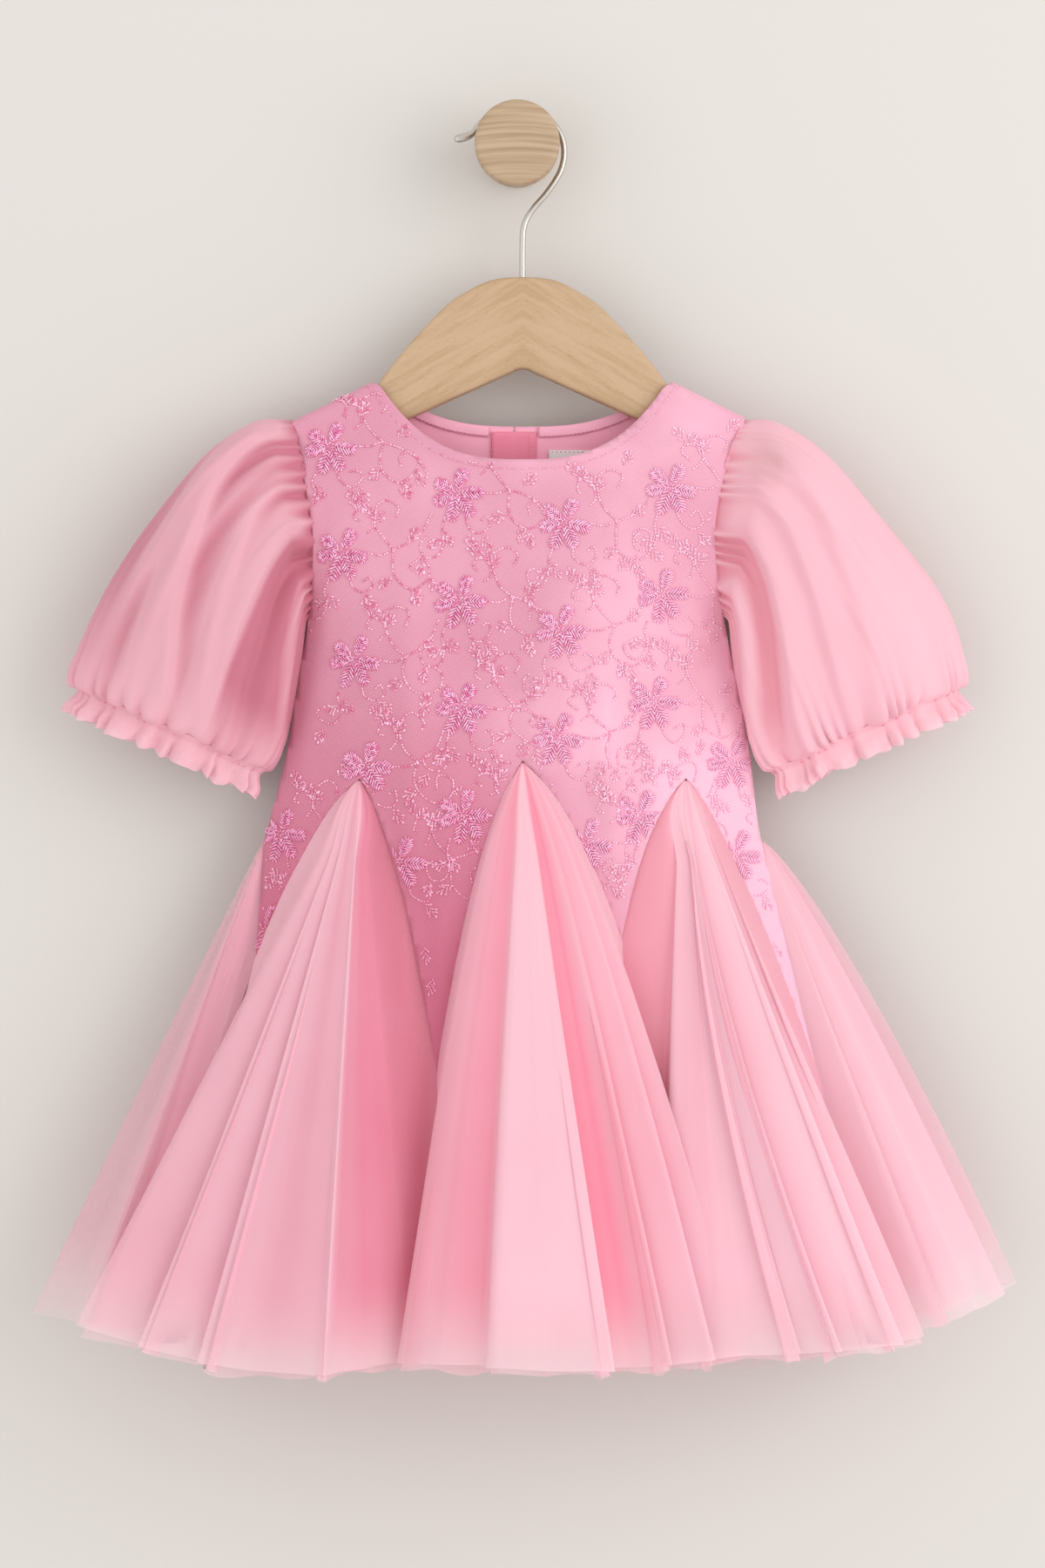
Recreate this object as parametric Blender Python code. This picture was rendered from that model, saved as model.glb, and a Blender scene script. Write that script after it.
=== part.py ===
# A toddler's party dress on its wooden hanger, hung by the wire hook on a round wall peg.
# Metres, +Z up, +X to the viewer's right. The wall is the plane y = 0 and the front faces -Y.
# The origin is the middle of the peg's flat back face.
# The tables are in millimetres, with x measured from the garment's centre line.
from collections import namedtuple
from math import cos, pi, radians, sin, sqrt

import bmesh
import bpy
import numpy as np
from mathutils.geometry import delaunay_2d_cdt

MM = 0.001
CENTRE_X = 2.8  # the garment hangs a little right of the peg's middle
SEAM = 0.5  # space left at a seam, measured across it
ARMHOLE_SEAM = 1.0
FAN_SEAM = 0.75
PANEL_WALL = 1.2
TULLE_WALL = 1.0
ORGANZA_WALL = 1.0

# Wall peg and hook
PEG_NECK_RADIUS = 17.8
PEG_DISC_RADIUS = 22.5
PEG_NECK_LENGTH = 38.0
PEG_LENGTH = 52.0
PEG_SOFT_EDGE = 1.6
WIRE_RADIUS = 1.65
WIRE_TIP = (1.05, 1.3, 1.32, 1.1)  # how thick the first points of the rounded tip are
HANG_Y = -31.0  # the plane of the wire and the middle of the hanger's board

# The wire's way from its tip, over the peg's neck and down to the board, from the peg's middle
Bend = namedtuple("Bend", "x z")
WIRE_ROUTE = [
    Bend(-33.6, 4.0), Bend(-29.5, 4.7), Bend(-25.0, 6.3), Bend(-22.0, 9.2), Bend(-18.2, 13.6),
    Bend(-11.5, 18.0), Bend(-2.0, 19.9), Bend(6.8, 19.2), Bend(14.0, 16.3), Bend(19.6, 11.9),
    Bend(23.6, 5.2), Bend(25.0, -3.2), Bend(23.6, -11.3), Bend(20.3, -18.0), Bend(14.6, -26.0),
    Bend(9.6, -31.6), Bend(5.4, -37.6), Bend(3.3, -43.6), Bend(2.85, -52.0), Bend(2.8, -61.0),
]

# Hanger board
BOARD_THICKNESS = 12.0
BOARD_CHAMFER = 2.5
BOARD_TOP_Z = -69.7
STEM_HOLE_DEPTH = 14.0
STEM_CLEARANCE = 0.3
STEM_END_SPACE = 0.5

# One half of the board's outline, out along its domed top to the arm's end and back along the
# wide V below: the distance from the middle, and the drop below the top
Corner = namedtuple("Corner", "out drop")
BOARD_HALF = [
    Corner(0, 0), Corner(12.9, 0.9), Corner(23.7, 4.5), Corner(31.5, 8.8), Corner(39.1, 13.8),
    Corner(52.0, 26.7), Corner(66.2, 42.8), Corner(78.2, 58.7), Corner(135.0, 86.4),
    Corner(138.0, 89.5), Corner(138.0, 108.5), Corner(134.0, 111.6), Corner(63.8, 76.7),
    Corner(2.5, 48.9), Corner(0, 48.2),
]

# Shoulder line: the cloth rolls over the board's top edge
NECK_HALF_WIDTH = 81.0
NECK_POINT_Z = -125.6
SHOULDER_SLOPE = 0.49
ROLL_REACH = 9.0
ROLL_DROP = 3.4
ROLL_LENGTH = 10.1
DEPTH_GROWTH = 36.0  # how far below the roll the cloth reaches its full depth

FRONT_NECK_DROP = 42.0
BACK_NECK_DROP = 22.5
NECK_ROUNDNESS = 2.85
UNDERARM_Z = -250.0

PETALS = 6
FLOWER_RADIUS = 12.8
FLOWER_HEIGHT = 1.6
FLOWER_EDGE_SPACE = 1.2  # a flower beside a cut edge is smaller and stops this far from it

FRONT, BACK = -1, 1

# The body's section at each height: its two sides, the middle of its depth, and how far
# the front, the back and the side edges stand from that middle.
Section = namedtuple("Section", "z left right mid front back side")
BODY = [
    Section(-100, -123.3, 118.0, -31.0, 10.0, 9.0, 8.6),
    Section(-146, -123.3, 118.0, -31.0, 13.0, 10.0, 8.6),
    Section(-160, -119.6, 112.2, -31.0, 18.0, 11.5, 12.5),
    Section(-178, -115.5, 106.4, -31.0, 22.0, 13.0, 16.0),
    Section(-208, -111.0, 101.7, -31.0, 26.0, 15.0, 16.5),
    Section(-232, -112.0, 104.0, -31.0, 28.0, 16.0, 10.5),
    Section(-250, -114.0, 107.0, -31.0, 28.0, 16.5, 2.6),
    Section(-284, -119.6, 113.8, -31.0, 29.0, 17.0, 1.9),
    Section(-320, -125.0, 120.5, -31.0, 30.0, 18.0, 1.9),
    Section(-369, -137.5, 127.0, -34.0, 31.5, 20.5, 1.9),
    Section(-433, -158.0, 150.0, -39.6, 33.5, 25.6, 3.5),
    Section(-499, -181.0, 178.0, -45.5, 35.5, 31.0, 5.5),
    Section(-650, -247.0, 247.0, -58.5, 42.0, 42.0, 10.0),
]

# Skirt seams, in order round the body: the long point of the bodice where each begins,
# and where it meets the hem.
Seam = namedtuple("Seam", "point_x point_z hem_x face")
SEAMS = [
    Seam(-141.0, -433.0, -207.0, FRONT),
    Seam(-44.0, -494.0, -46.0, FRONT),
    Seam(51.5, -422.0, 80.5, FRONT),
    Seam(157.0, -499.0, 188.6, FRONT),
    Seam(146.0, -440.0, 216.0, BACK),
    Seam(44.0, -470.0, 60.0, BACK),
    Seam(-44.0, -470.0, -58.0, BACK),
    Seam(-150.0, -440.0, -212.0, BACK),
]

# Each fan of the skirt: where its point sits, and its folds at the hem from its first seam
# to its second. A spread under 1 makes a fold leave the point at a wider angle.
Fold = namedtuple("Fold", "x y spread")
Fan = namedtuple("Fan", "name apex_x apex_z first_seam folds")
FANS = [
    Fan("godet_front_left", -86.0, -336.0, 0, [
        Fold(-231, -95, 0.9), Fold(-215, -109, 0.95), Fold(-197, -120, 1), Fold(-183, -111, 1),
        Fold(-166, -134, 1), Fold(-138, -122, 1), Fold(-101, -151, 1), Fold(-84, -125, 1),
        Fold(-66, -106, 1)]),
    Fan("godet_front_centre", 0.0, -326.6, 1, [
        Fold(-64, -119, 0.6), Fold(-50, -138, 0.66), Fold(-28, -133, 0.8), Fold(-16.6, -151, 0.9),
        Fold(14, -144, 1), Fold(46.5, -151, 0.95), Fold(58, -131, 0.85), Fold(76, -138, 0.78),
        Fold(93, -123, 0.72), Fold(113.6, -118, 0.68)]),
    Fan("godet_front_right", 86.5, -336.0, 2, [
        Fold(110, -101, 1), Fold(134, -127, 1), Fold(147, -118, 1), Fold(162, -134, 1),
        Fold(177, -117, 1), Fold(191, -121, 1), Fold(207.5, -102, 1)]),
    Fan("godet_side_right", 127.0, -369.0, 3, [
        Fold(206, -81, 1), Fold(221, -96, 1), Fold(234, -85, 1), Fold(250, -84, 1),
        Fold(260, -63, 0.95), Fold(252, -48, 1), Fold(238, -34, 1)]),
    Fan("godet_back_right", 86.0, -336.0, 4, [
        Fold(203, -22, 1), Fold(186, -11, 1), Fold(165, -20, 1), Fold(142, -9, 1),
        Fold(118, -17, 1), Fold(97, -9, 1), Fold(78, -15, 1)]),
    Fan("godet_back_centre", 0.0, -326.6, 5, [
        Fold(46, -11, 0.8), Fold(24, -17, 1), Fold(1, -8, 1), Fold(-22, -17, 1),
        Fold(-44, -11, 0.8)]),
    Fan("godet_back_left", -86.0, -336.0, 6, [
        Fold(-76, -15, 1), Fold(-95, -9, 1), Fold(-116, -17, 1), Fold(-140, -9, 1),
        Fold(-163, -20, 1), Fold(-184, -11, 1), Fold(-200, -22, 1)]),
    Fan("godet_side_left", -137.5, -369.0, 7, [
        Fold(-234, -33, 1), Fold(-249, -47, 1), Fold(-258.5, -62, 0.95), Fold(-248, -80, 1),
        Fold(-234, -76, 1), Fold(-224, -74, 1)]),
]
SEAM_FOOT_Z = -637.0  # where the seams meet the hem
SEAM_BOW = 7.0  # how far a front or back cut edge curves out between a fan's point and a long point
FAN_ROWS = 6
FAN_START = (0.03, 0.14)  # shares of a fan's height where its first two rows lie
SIDE_FAN_START = (0.07, 0.17)
EVEN_UNTIL = 0.22  # above this share of a fan's height its folds are spaced evenly
STEPS_A_FOLD = 2
FOLD_SPACE = 1.6  # a fan's folds stay this far inside its cut edges, and lap over them lower down
APEX_SPACE = 0.4

# Height of the fans' hem along the width
Hem = namedtuple("Hem", "x z")
HEM = [
    Hem(-259, -617), Hem(-231, -619), Hem(-197, -628), Hem(-166, -635), Hem(-101, -639),
    Hem(-46, -635), Hem(46, -637), Hem(113, -632), Hem(162, -629), Hem(207, -624),
    Hem(250, -606), Hem(260, -601),
]

# Underskirt: the heights of its rows, how far it lies inside the bodice and the fans at its top
# and how much further at its hem, and its waves
UNDERSKIRT_ROWS = (-318.0, -380.0, -460.0, -555.0, -647.0)
UNDERSKIRT_INSET = 0.4
UNDERSKIRT_HEM_INSET = 6.0
UNDERSKIRT_WAVES = 22
UNDERSKIRT_WAVE = 4.0

# Sleeve: the outer and inner edges of its outline, and its depth in front and behind,
# from the armhole to the cuff. The first row is the armhole itself.
Ring = namedtuple("Ring", "along out_x out_z in_x in_z front back fold")
SLEEVE = [
    Ring(0.00, -123.3, -145.6, -114.0, -247.0, 14.0, 14.0, 0.0),
    Ring(0.14, -138.0, -146.0, -117.0, -256.0, 24.0, 17.0, 1.5),
    Ring(0.30, -162.0, -159.5, -120.0, -270.0, 31.0, 20.0, 1.8),
    Ring(0.50, -190.0, -190.0, -123.5, -289.0, 35.0, 22.0, 2.2),
    Ring(0.70, -218.0, -230.0, -127.5, -306.0, 34.0, 22.0, 2.2),
    Ring(0.86, -235.5, -266.0, -130.5, -319.0, 29.0, 19.0, 1.8),
    Ring(0.95, -240.0, -281.0, -134.0, -328.0, 23.0, 15.0, 1.4),
    Ring(1.00, -236.0, -289.0, -139.5, -333.0, 18.0, 12.0, 1.1),
]
SLEEVE_ROWS = (0.0, 0.07, 0.18, 0.34, 0.52, 0.7, 0.85, 0.94, 1.0)
ARMHOLE_REACH = 0.14  # the share of a sleeve over which it opens from the flat armhole
SLEEVE_MID_Y = -33.0
SLEEVE_FOLDS = 11
SLEEVE_TWIST = 1.1
RIGHT_SLEEVE_SHIFT = -5.5

# Cuff frill: how far below the sleeve each of its rows lies, with its waves and its flare
Ruffle = namedtuple("Ruffle", "distance wave flare")
FRILL_WAVES = 18
FRILL = [Ruffle(1.0, 0.0, 0.0), Ruffle(4.0, 0.8, 0.0), Ruffle(12.5, 2.6, 2.5)]

# Embroidered flowers: columns down the front, and mirrored halves on the back
Column = namedtuple("Column", "x z lean count turn")
PITCH = 56.5
FRONT_FLOWERS = [
    Column(-102.0, -163.0, 6.5, 3, 0.2), Column(-34.5, -186.0, 1.2, 4, 0.5),
    Column(21.0, -203.0, -1.0, 2, 0.1), Column(76.0, -184.0, -3.5, 3, 0.7),
]
SINGLE_FRONT_FLOWERS = [(18.5, -305.0, 0.4), (104.0, -318.0, 0.3), (50.5, -362.0, 0.6),
                        (-122.0, -368.0, 0.1), (-82.0, -317.0, 0.8)]
BACK_FLOWERS = [Column(96.0, -180.0, -1.0, 3, 0.4), Column(42.0, -206.0, 0.0, 3, 0.2)]

# Back opening and what lies along it. A strip's near side stands this far from the body's
# outer surface, outward above zero and inward below.
BACK_OPENING_X = -4.6
BAND_WALL = 1.0
OUTSIDE = 0.5
INSIDE = -PANEL_WALL - 0.3 - BAND_WALL
Band = namedtuple("Band", "top bottom half_width away")
PLACKET_OUTER = Band(-153.5, -312.0, 9.0, OUTSIDE)
PLACKET_INNER = Band(-150.8, -310.0, 12.0, INSIDE)
PLACKET_ROWS = 8
FACING_START = 13.2  # from the opening's middle to the facing's end beside the placket
FACING_END = 56.0  # degrees round the neckline
FACING_EDGES = (0.2, 5.6)  # distances below the neckline
LABEL_COLUMNS = (14.0, 24.0, 35.0, 45.0)
LABEL_ROWS = (-160.5, -171.0, -182.0)
BUTTONS = 5
BUTTON_RADIUS = 4.5
BUTTON_TOP_Z = -162.0
BUTTON_PITCH = 36.0
BUTTON_SPACE = 0.4


def clear_scene():
    for item in list(bpy.data.objects):
        bpy.data.objects.remove(item, do_unlink=True)


def finish(name, color, roughness, metallic=0.0):
    material = bpy.data.materials.new(name)
    material.use_nodes = True
    shader = material.node_tree.nodes["Principled BSDF"]
    shader.inputs["Base Color"].default_value = (*color, 1.0)
    shader.inputs["Roughness"].default_value = roughness
    shader.inputs["Metallic"].default_value = metallic
    return material


def add_mesh(name, points, faces, material):
    """An object of these points, in millimetres from the garment's centre line."""
    mesh = bpy.data.meshes.new(name)
    placed = [((p[0] + CENTRE_X) * MM, p[1] * MM, p[2] * MM) for p in points]
    mesh.from_pydata(placed, [], [tuple(int(i) for i in face) for face in faces])
    work = bmesh.new()
    work.from_mesh(mesh)
    bmesh.ops.recalc_face_normals(work, faces=work.faces)
    work.to_mesh(mesh)
    work.free()
    mesh.materials.append(material)
    mesh.shade_smooth()
    mesh.set_sharp_from_angle(angle=radians(50))
    item = bpy.data.objects.new(name, mesh)
    bpy.context.scene.collection.objects.link(item)
    return item


def table_value(rows, key, at, value):
    """A column of a table, smooth between its rows."""
    keys = np.array([getattr(row, key) for row in rows], float)
    values = np.array([getattr(row, value) for row in rows], float)
    if keys[0] > keys[-1]:
        keys, values = keys[::-1], values[::-1]
    slopes = np.gradient(values, keys)
    at = min(max(at, keys[0]), keys[-1])
    i = min(int(np.searchsorted(keys, at, side="right")) - 1, len(keys) - 2)
    width = keys[i + 1] - keys[i]
    t = (at - keys[i]) / width
    blend = t * t * (3 - 2 * t)
    bend = width * (t * (1 - t) ** 2 * slopes[i] - t * t * (1 - t) * slopes[i + 1])
    return float(values[i] * (1 - blend) + values[i + 1] * blend + bend)


def body(z, value):
    return table_value(BODY, "z", z, value)


def smooth_step(t):
    t = min(max(t, 0.0), 1.0)
    return t * t * (3 - 2 * t)


# The body's cloth


def shoulder_z(x):
    return NECK_POINT_Z - SHOULDER_SLOPE * max(abs(x) - NECK_HALF_WIDTH, 0.0)


def cloth_top(x):
    """Length coordinate of the shoulder seam: it counts the roll over the board in full."""
    return shoulder_z(x) + ROLL_LENGTH - ROLL_DROP


def across(x, z):
    """Place across the body, from -1 at its left side to 1 at its right."""
    left = body(z, "left")
    right = body(z, "right")
    return (x - (left + right) / 2) / ((right - left) / 2)


def body_point(x, length, face):
    """A point of the body's outer surface. Below the shoulder roll, length is its height."""
    below = max(cloth_top(x) - length, 0.0)
    turn = min(below / ROLL_LENGTH, 1.0) * pi / 2
    roll = SEAM / 2 + ROLL_REACH * sin(turn)
    z = shoulder_z(x) - ROLL_DROP * (1 - cos(turn)) - max(below - ROLL_LENGTH, 0.0)
    side = body(z, "side")
    full = body(z, "front" if face == FRONT else "back")
    u = min(abs(across(x, z)), 1.0)
    depth = side + (full - side) * (1 - u ** 3)
    grow = smooth_step((below - ROLL_LENGTH) / DEPTH_GROWTH)
    depth = roll + (depth - SEAM / 2 - ROLL_REACH) * grow
    return np.array([x, body(z, "mid") + face * depth, z])


def body_normal(x, length, face):
    step = 0.6
    along = body_point(x, length + step, face) - body_point(x, length - step, face)
    wide = body_point(x + step, length, face) - body_point(x - step, length, face)
    normal = np.cross(wide, along)
    normal /= np.linalg.norm(normal)
    return normal if normal[1] * face > 0 or (abs(normal[1]) < 0.2 and normal[2] > 0) else -normal


def neck_length(x, drop):
    """The neckline's length coordinate at x."""
    top = cloth_top(NECK_HALF_WIDTH)
    share = min(abs(x) / NECK_HALF_WIDTH, 1.0)
    return top - (drop + ROLL_LENGTH - ROLL_DROP) * (1 - share ** NECK_ROUNDNESS)


def neck_line(start, end, drop, steps):
    """Points of the neckline from one angle to another; 90 degrees is the neck point."""
    points = []
    for i in range(steps + 1):
        x = NECK_HALF_WIDTH * sin(radians(start + (end - start) * i / steps))
        points.append((x, neck_length(x, drop)))
    return points


def shoulder_line(side, steps=4):
    """From the neck point to the tip of the shoulder."""
    tip = body(-146, "left" if side < 0 else "right")
    xs = np.linspace(side * NECK_HALF_WIDTH, tip, steps + 1)
    return [(x, cloth_top(x)) for x in xs]


def side_line(side, end_z):
    """From the tip of the shoulder down the armhole and the side seam."""
    name = "left" if side < 0 else "right"
    tip = body(-146, name)
    top = cloth_top(tip)
    roll = [top - ROLL_LENGTH * i / 3 for i in (1, 2, 3)]
    lower = list(np.linspace(top - ROLL_LENGTH - 9, UNDERARM_Z, 11))
    lower += list(np.linspace(UNDERARM_Z - 30, end_z, 4))
    return [(tip, z) for z in roll] + [(body(z, name), z) for z in lower]


def at_side(fan):
    return "side" in fan.name


def seam_x(fan, seam, z):
    """Where the seam between a fan and the bodice, or the next fan, is at height z."""
    if z <= seam.point_z:
        share = (seam.point_z - z) / (seam.point_z - SEAM_FOOT_Z)
        return seam.point_x + (seam.hem_x - seam.point_x) * share
    share = (fan.apex_z - z) / (fan.apex_z - seam.point_z)
    bow = 0.0 if at_side(fan) else SEAM_BOW * sin(pi * share ** 0.7)
    outward = 1 if seam.point_x > fan.apex_x else -1
    return fan.apex_x + (seam.point_x - fan.apex_x) * share + bow * outward


def fan_rows(fan):
    """Shares of a fan's height where its rows lie: one meets each long point beside it."""
    shares = []
    for seam in (SEAMS[fan.first_seam], SEAMS[(fan.first_seam + 1) % len(SEAMS)]):
        share = (fan.apex_z - seam.point_z) / (fan.apex_z - hem_z(seam.hem_x))
        if all(abs(share - other) > 0.05 for other in shares):
            shares.append(share)
    shares.sort()
    start = SIDE_FAN_START if at_side(fan) else FAN_START
    left = FAN_ROWS - len(start) - len(shares)
    return [*start, *shares, *np.linspace(shares[-1], 1.0, left + 1)[1:]]


def point_edge(fan, seam):
    """Points of a cut edge, from a fan's point down to the bodice's long point."""
    rows = [fan.apex_z + (hem_z(seam.hem_x) - fan.apex_z) * share for share in fan_rows(fan)]
    zs = [fan.apex_z] + [z for z in rows if z > seam.point_z + 3] + [seam.point_z]
    return [(seam_x(fan, seam, z), z) for z in zs]


def flower_rings(x, z, turn, size):
    """The star outline of a flower at its foot and at its top."""
    foot = []
    top = []
    for petal in range(PETALS):
        middle = 2 * pi * (petal + turn) / PETALS
        for offset, radius, inner in ((-0.19, 1.0, 0.88), (0.19, 1.0, 0.88), (pi / 6, 0.36, 0.27)):
            angle = middle + offset
            reach = size * radius
            foot.append((x + reach * cos(angle), z + reach * sin(angle)))
            reach = size * inner
            top.append((x + reach * cos(angle), z + reach * sin(angle)))
    return foot, top


def inside(point, outline):
    hit = False
    for (x0, z0), (x1, z1) in zip(outline, outline[1:] + outline[:1]):
        if (z0 > point[1]) != (z1 > point[1]):
            if point[0] < x0 + (point[1] - z0) * (x1 - x0) / (z1 - z0):
                hit = not hit
    return hit


def edge_distance(point, outline):
    ring = np.array(outline + outline[:1])
    start, end = ring[:-1], ring[1:]
    run = end - start
    share = ((point - start) * run).sum(1) / np.maximum((run * run).sum(1), 1e-9)
    nearest = start + run * np.clip(share, 0, 1)[:, None]
    return float(np.sqrt(((point - nearest) ** 2).sum(1)).min())


def inner_grid(outline, extra, spacing):
    """Points inside an outline, in rows a set distance apart, kept off its edge."""
    xs = [p[0] for p in outline]
    zs = [p[1] for p in outline]
    points = []
    for row, z in enumerate(np.arange(min(zs) + spacing / 2, max(zs), spacing)):
        shift = spacing / 2 if row % 2 else 0.0
        for x in np.arange(min(xs) + shift, max(xs), spacing):
            if z > cloth_top(x) - ROLL_LENGTH - 3:
                continue
            if inside((x, z), outline) and edge_distance(np.array([x, z]), outline) > spacing * 0.38:
                points.append((x, z))
    for x, z in extra:
        if inside((x, z), outline) and edge_distance(np.array([x, z]), outline) > 2.0:
            points.append((x, z))
    return points


def triangulate(outline, loose, rings):
    """Triangles inside the outline that keep every ring as edges."""
    points = [tuple(p) for p in outline]
    edges = [(i, (i + 1) % len(outline)) for i in range(len(outline))]
    for ring in rings:
        first = len(points)
        points += ring
        edges += [(first + i, first + (i + 1) % len(ring)) for i in range(len(ring))]
    points += loose
    result = delaunay_2d_cdt(points, edges, [], 1, 1e-4)
    for place, origin in zip(result[0], result[3]):
        if not origin:
            raise ValueError(f"two outlines cross near {place[0]:.1f}, {place[1]:.1f}")
    return points, [[result[3][i][0] for i in face] for face in result[2]]


def cloth_panel(name, outline, flowers, face, material, spacing=21.0):
    """A wall of the body's cloth inside an outline, its flowers raised on the outside only."""
    rolls = []
    for share in (1 / 3, 2 / 3, 1.0):
        for x in np.arange(-118, 119, 11.0):
            if abs(x) > NECK_HALF_WIDTH + 2:
                rolls.append((x, cloth_top(x) - ROLL_LENGTH * share))
    plain = inner_grid(outline, rolls, spacing)
    loose = [p for p in plain
             if all((p[0] - x) ** 2 + (p[1] - z) ** 2 > (FLOWER_RADIUS + 3) ** 2 for x, z, _ in flowers)]
    rings = []
    heights = {}
    for x, z, turn in flowers:
        room = edge_distance(np.array([x, z]), outline) - FLOWER_EDGE_SPACE
        foot, top = flower_rings(x, z, turn, min(FLOWER_RADIUS, room))
        rings += [foot, top]
        loose = loose + [(x, z)]
    outer2d, outer_faces = triangulate(outline, loose, rings)
    raised = len(outline)
    for index in range(len(rings)):
        if index % 2:
            for i in range(raised, raised + len(rings[index])):
                heights[i] = FLOWER_HEIGHT
        raised += len(rings[index])
    for i in range(len(outer2d) - len(flowers), len(outer2d)):
        heights[i] = FLOWER_HEIGHT * 0.6
    inner2d, inner_faces = triangulate(outline, plain, [])
    points = []
    for i, (x, length) in enumerate(outer2d):
        normal = body_normal(x, length, face)
        points.append(body_point(x, length, face) + normal * heights.get(i, 0.0))
    first = len(points)
    for x, length in inner2d:
        points.append(body_point(x, length, face) - body_normal(x, length, face) * PANEL_WALL)
    faces = [tuple(f) for f in outer_faces]
    faces += [tuple(first + i for i in reversed(f)) for f in inner_faces]
    count = len(outline)
    for i in range(count):
        j = (i + 1) % count
        faces.append((i, first + i, first + j))
        faces.append((i, first + j, j))
    return add_mesh(name, points, faces, material)


def column_flowers(columns, mirror=1):
    return [(mirror * (c.x + c.lean * i), c.z - PITCH * i, c.turn + 0.37 * i)
            for c in columns for i in range(c.count)]


def fan_named(name):
    return next(fan for fan in FANS if fan.name == name)


def front_panel(material):
    left, centre, right = (fan_named("godet_front_" + side) for side in ("left", "centre", "right"))
    side_left = fan_named("godet_side_left")
    side_right = fan_named("godet_side_right")
    outline = neck_line(-90, 90, FRONT_NECK_DROP, 18)
    outline += shoulder_line(1)[1:]
    outline += side_line(1, side_right.apex_z)
    outline += point_edge(side_right, SEAMS[3])[1:]
    outline += point_edge(right, SEAMS[3])[::-1][1:]
    outline += point_edge(right, SEAMS[2])[1:]
    outline += point_edge(centre, SEAMS[2])[::-1][1:]
    outline += point_edge(centre, SEAMS[1])[1:]
    outline += point_edge(left, SEAMS[1])[::-1][1:]
    outline += point_edge(left, SEAMS[0])[1:]
    outline += point_edge(side_left, SEAMS[0])[::-1][1:]
    outline += side_line(-1, side_left.apex_z)[::-1][1:]
    outline += shoulder_line(-1)[::-1][:-1]
    flowers = column_flowers(FRONT_FLOWERS) + SINGLE_FRONT_FLOWERS
    return cloth_panel("front", outline, flowers, FRONT, material)


def back_panel(side, material):
    """One half of the back, from the centre back opening to the side seam."""
    word = "left" if side < 0 else "right"
    half = fan_named("godet_back_" + word)
    side_fan = fan_named("godet_side_" + word)
    centre = fan_named("godet_back_centre")
    middle_seam, side_seam = (SEAMS[6], SEAMS[7]) if side < 0 else (SEAMS[5], SEAMS[4])
    opening = BACK_OPENING_X + side * SEAM / 2
    start = np.degrees(np.arcsin(opening / NECK_HALF_WIDTH))
    outline = neck_line(start, side * 90, BACK_NECK_DROP, 9)
    outline += shoulder_line(side)[1:]
    outline += side_line(side, side_fan.apex_z)
    outline += point_edge(side_fan, side_seam)[1:]
    outline += point_edge(half, side_seam)[::-1][1:]
    outline += point_edge(half, middle_seam)[1:]
    inner_edge = [p for p in point_edge(centre, middle_seam)[::-1][1:] if (p[0] - opening) * side > 2]
    outline += inner_edge
    outline += [(opening, z) for z in np.linspace(centre.apex_z, -154, 12)]
    flowers = [(x + (BACK_OPENING_X if side < 0 else 0), z, t)
               for x, z, t in column_flowers(BACK_FLOWERS, side)]
    return cloth_panel("back_" + word, outline, flowers, BACK, material)


# Walls drawn as rows of points


def grid_normals(rows, closed):
    """Outward normals of a grid of points whose rows run round the piece from left to right."""
    grid = np.array(rows)
    if closed:
        wide = np.roll(grid, -1, 1) - np.roll(grid, 1, 1)
    else:
        wide = np.gradient(grid, axis=1)
    down = np.gradient(grid, axis=0)
    normals = np.cross(down, wide)
    return normals / np.linalg.norm(normals, axis=2, keepdims=True)


def cloth_wall(name, rows, wall, material, closed=False, flip=False):
    """A closed wall from rows of outer points: the inner points lie one wall further in."""
    outer = np.array(rows)
    inner = outer - grid_normals(rows, closed) * (-wall if flip else wall)
    count, width = outer.shape[:2]
    points = list(outer.reshape(-1, 3)) + list(inner.reshape(-1, 3))
    first = count * width
    faces = []
    spans = width if closed else width - 1
    for i in range(count - 1):
        for j in range(spans):
            k = (j + 1) % width
            a, b, c, d = i * width + j, i * width + k, (i + 1) * width + k, (i + 1) * width + j
            faces.append((a, d, c, b))
            faces.append((first + a, first + b, first + c, first + d))
    for j in range(spans):
        k = (j + 1) % width
        faces.append((j, k, first + k, first + j))
        low = (count - 1) * width
        faces.append((low + j, first + low + j, first + low + k, low + k))
    if not closed:
        for i in range(count - 1):
            a, d = i * width, (i + 1) * width
            faces.append((a, first + a, first + d, d))
            a, d = a + width - 1, d + width - 1
            faces.append((a, d, first + d, first + a))
    return add_mesh(name, points, faces, material)


def curve_through(points, steps):
    """A smooth run through control points, with a set number of steps between each two."""
    controls = np.array(points)
    ends = np.vstack([2 * controls[0] - controls[1], controls, 2 * controls[-1] - controls[-2]])
    result = []
    for i in range(len(controls) - 1):
        a, b, c, d = ends[i:i + 4]
        for step in range(steps):
            t = step / steps
            result.append(0.5 * (2 * b + (c - a) * t + (2 * a - 5 * b + 4 * c - d) * t * t
                                 + (3 * b - a - 3 * c + d) * t ** 3))
    result.append(controls[-1])
    return result


def hem_z(x):
    return table_value(HEM, "x", x, "z")


def seam_place(fan, seam, z, inward):
    """A seam's point at a height, moved a little into the fan."""
    return body_point(seam_x(fan, seam, z) + inward, z, seam.face)


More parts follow.
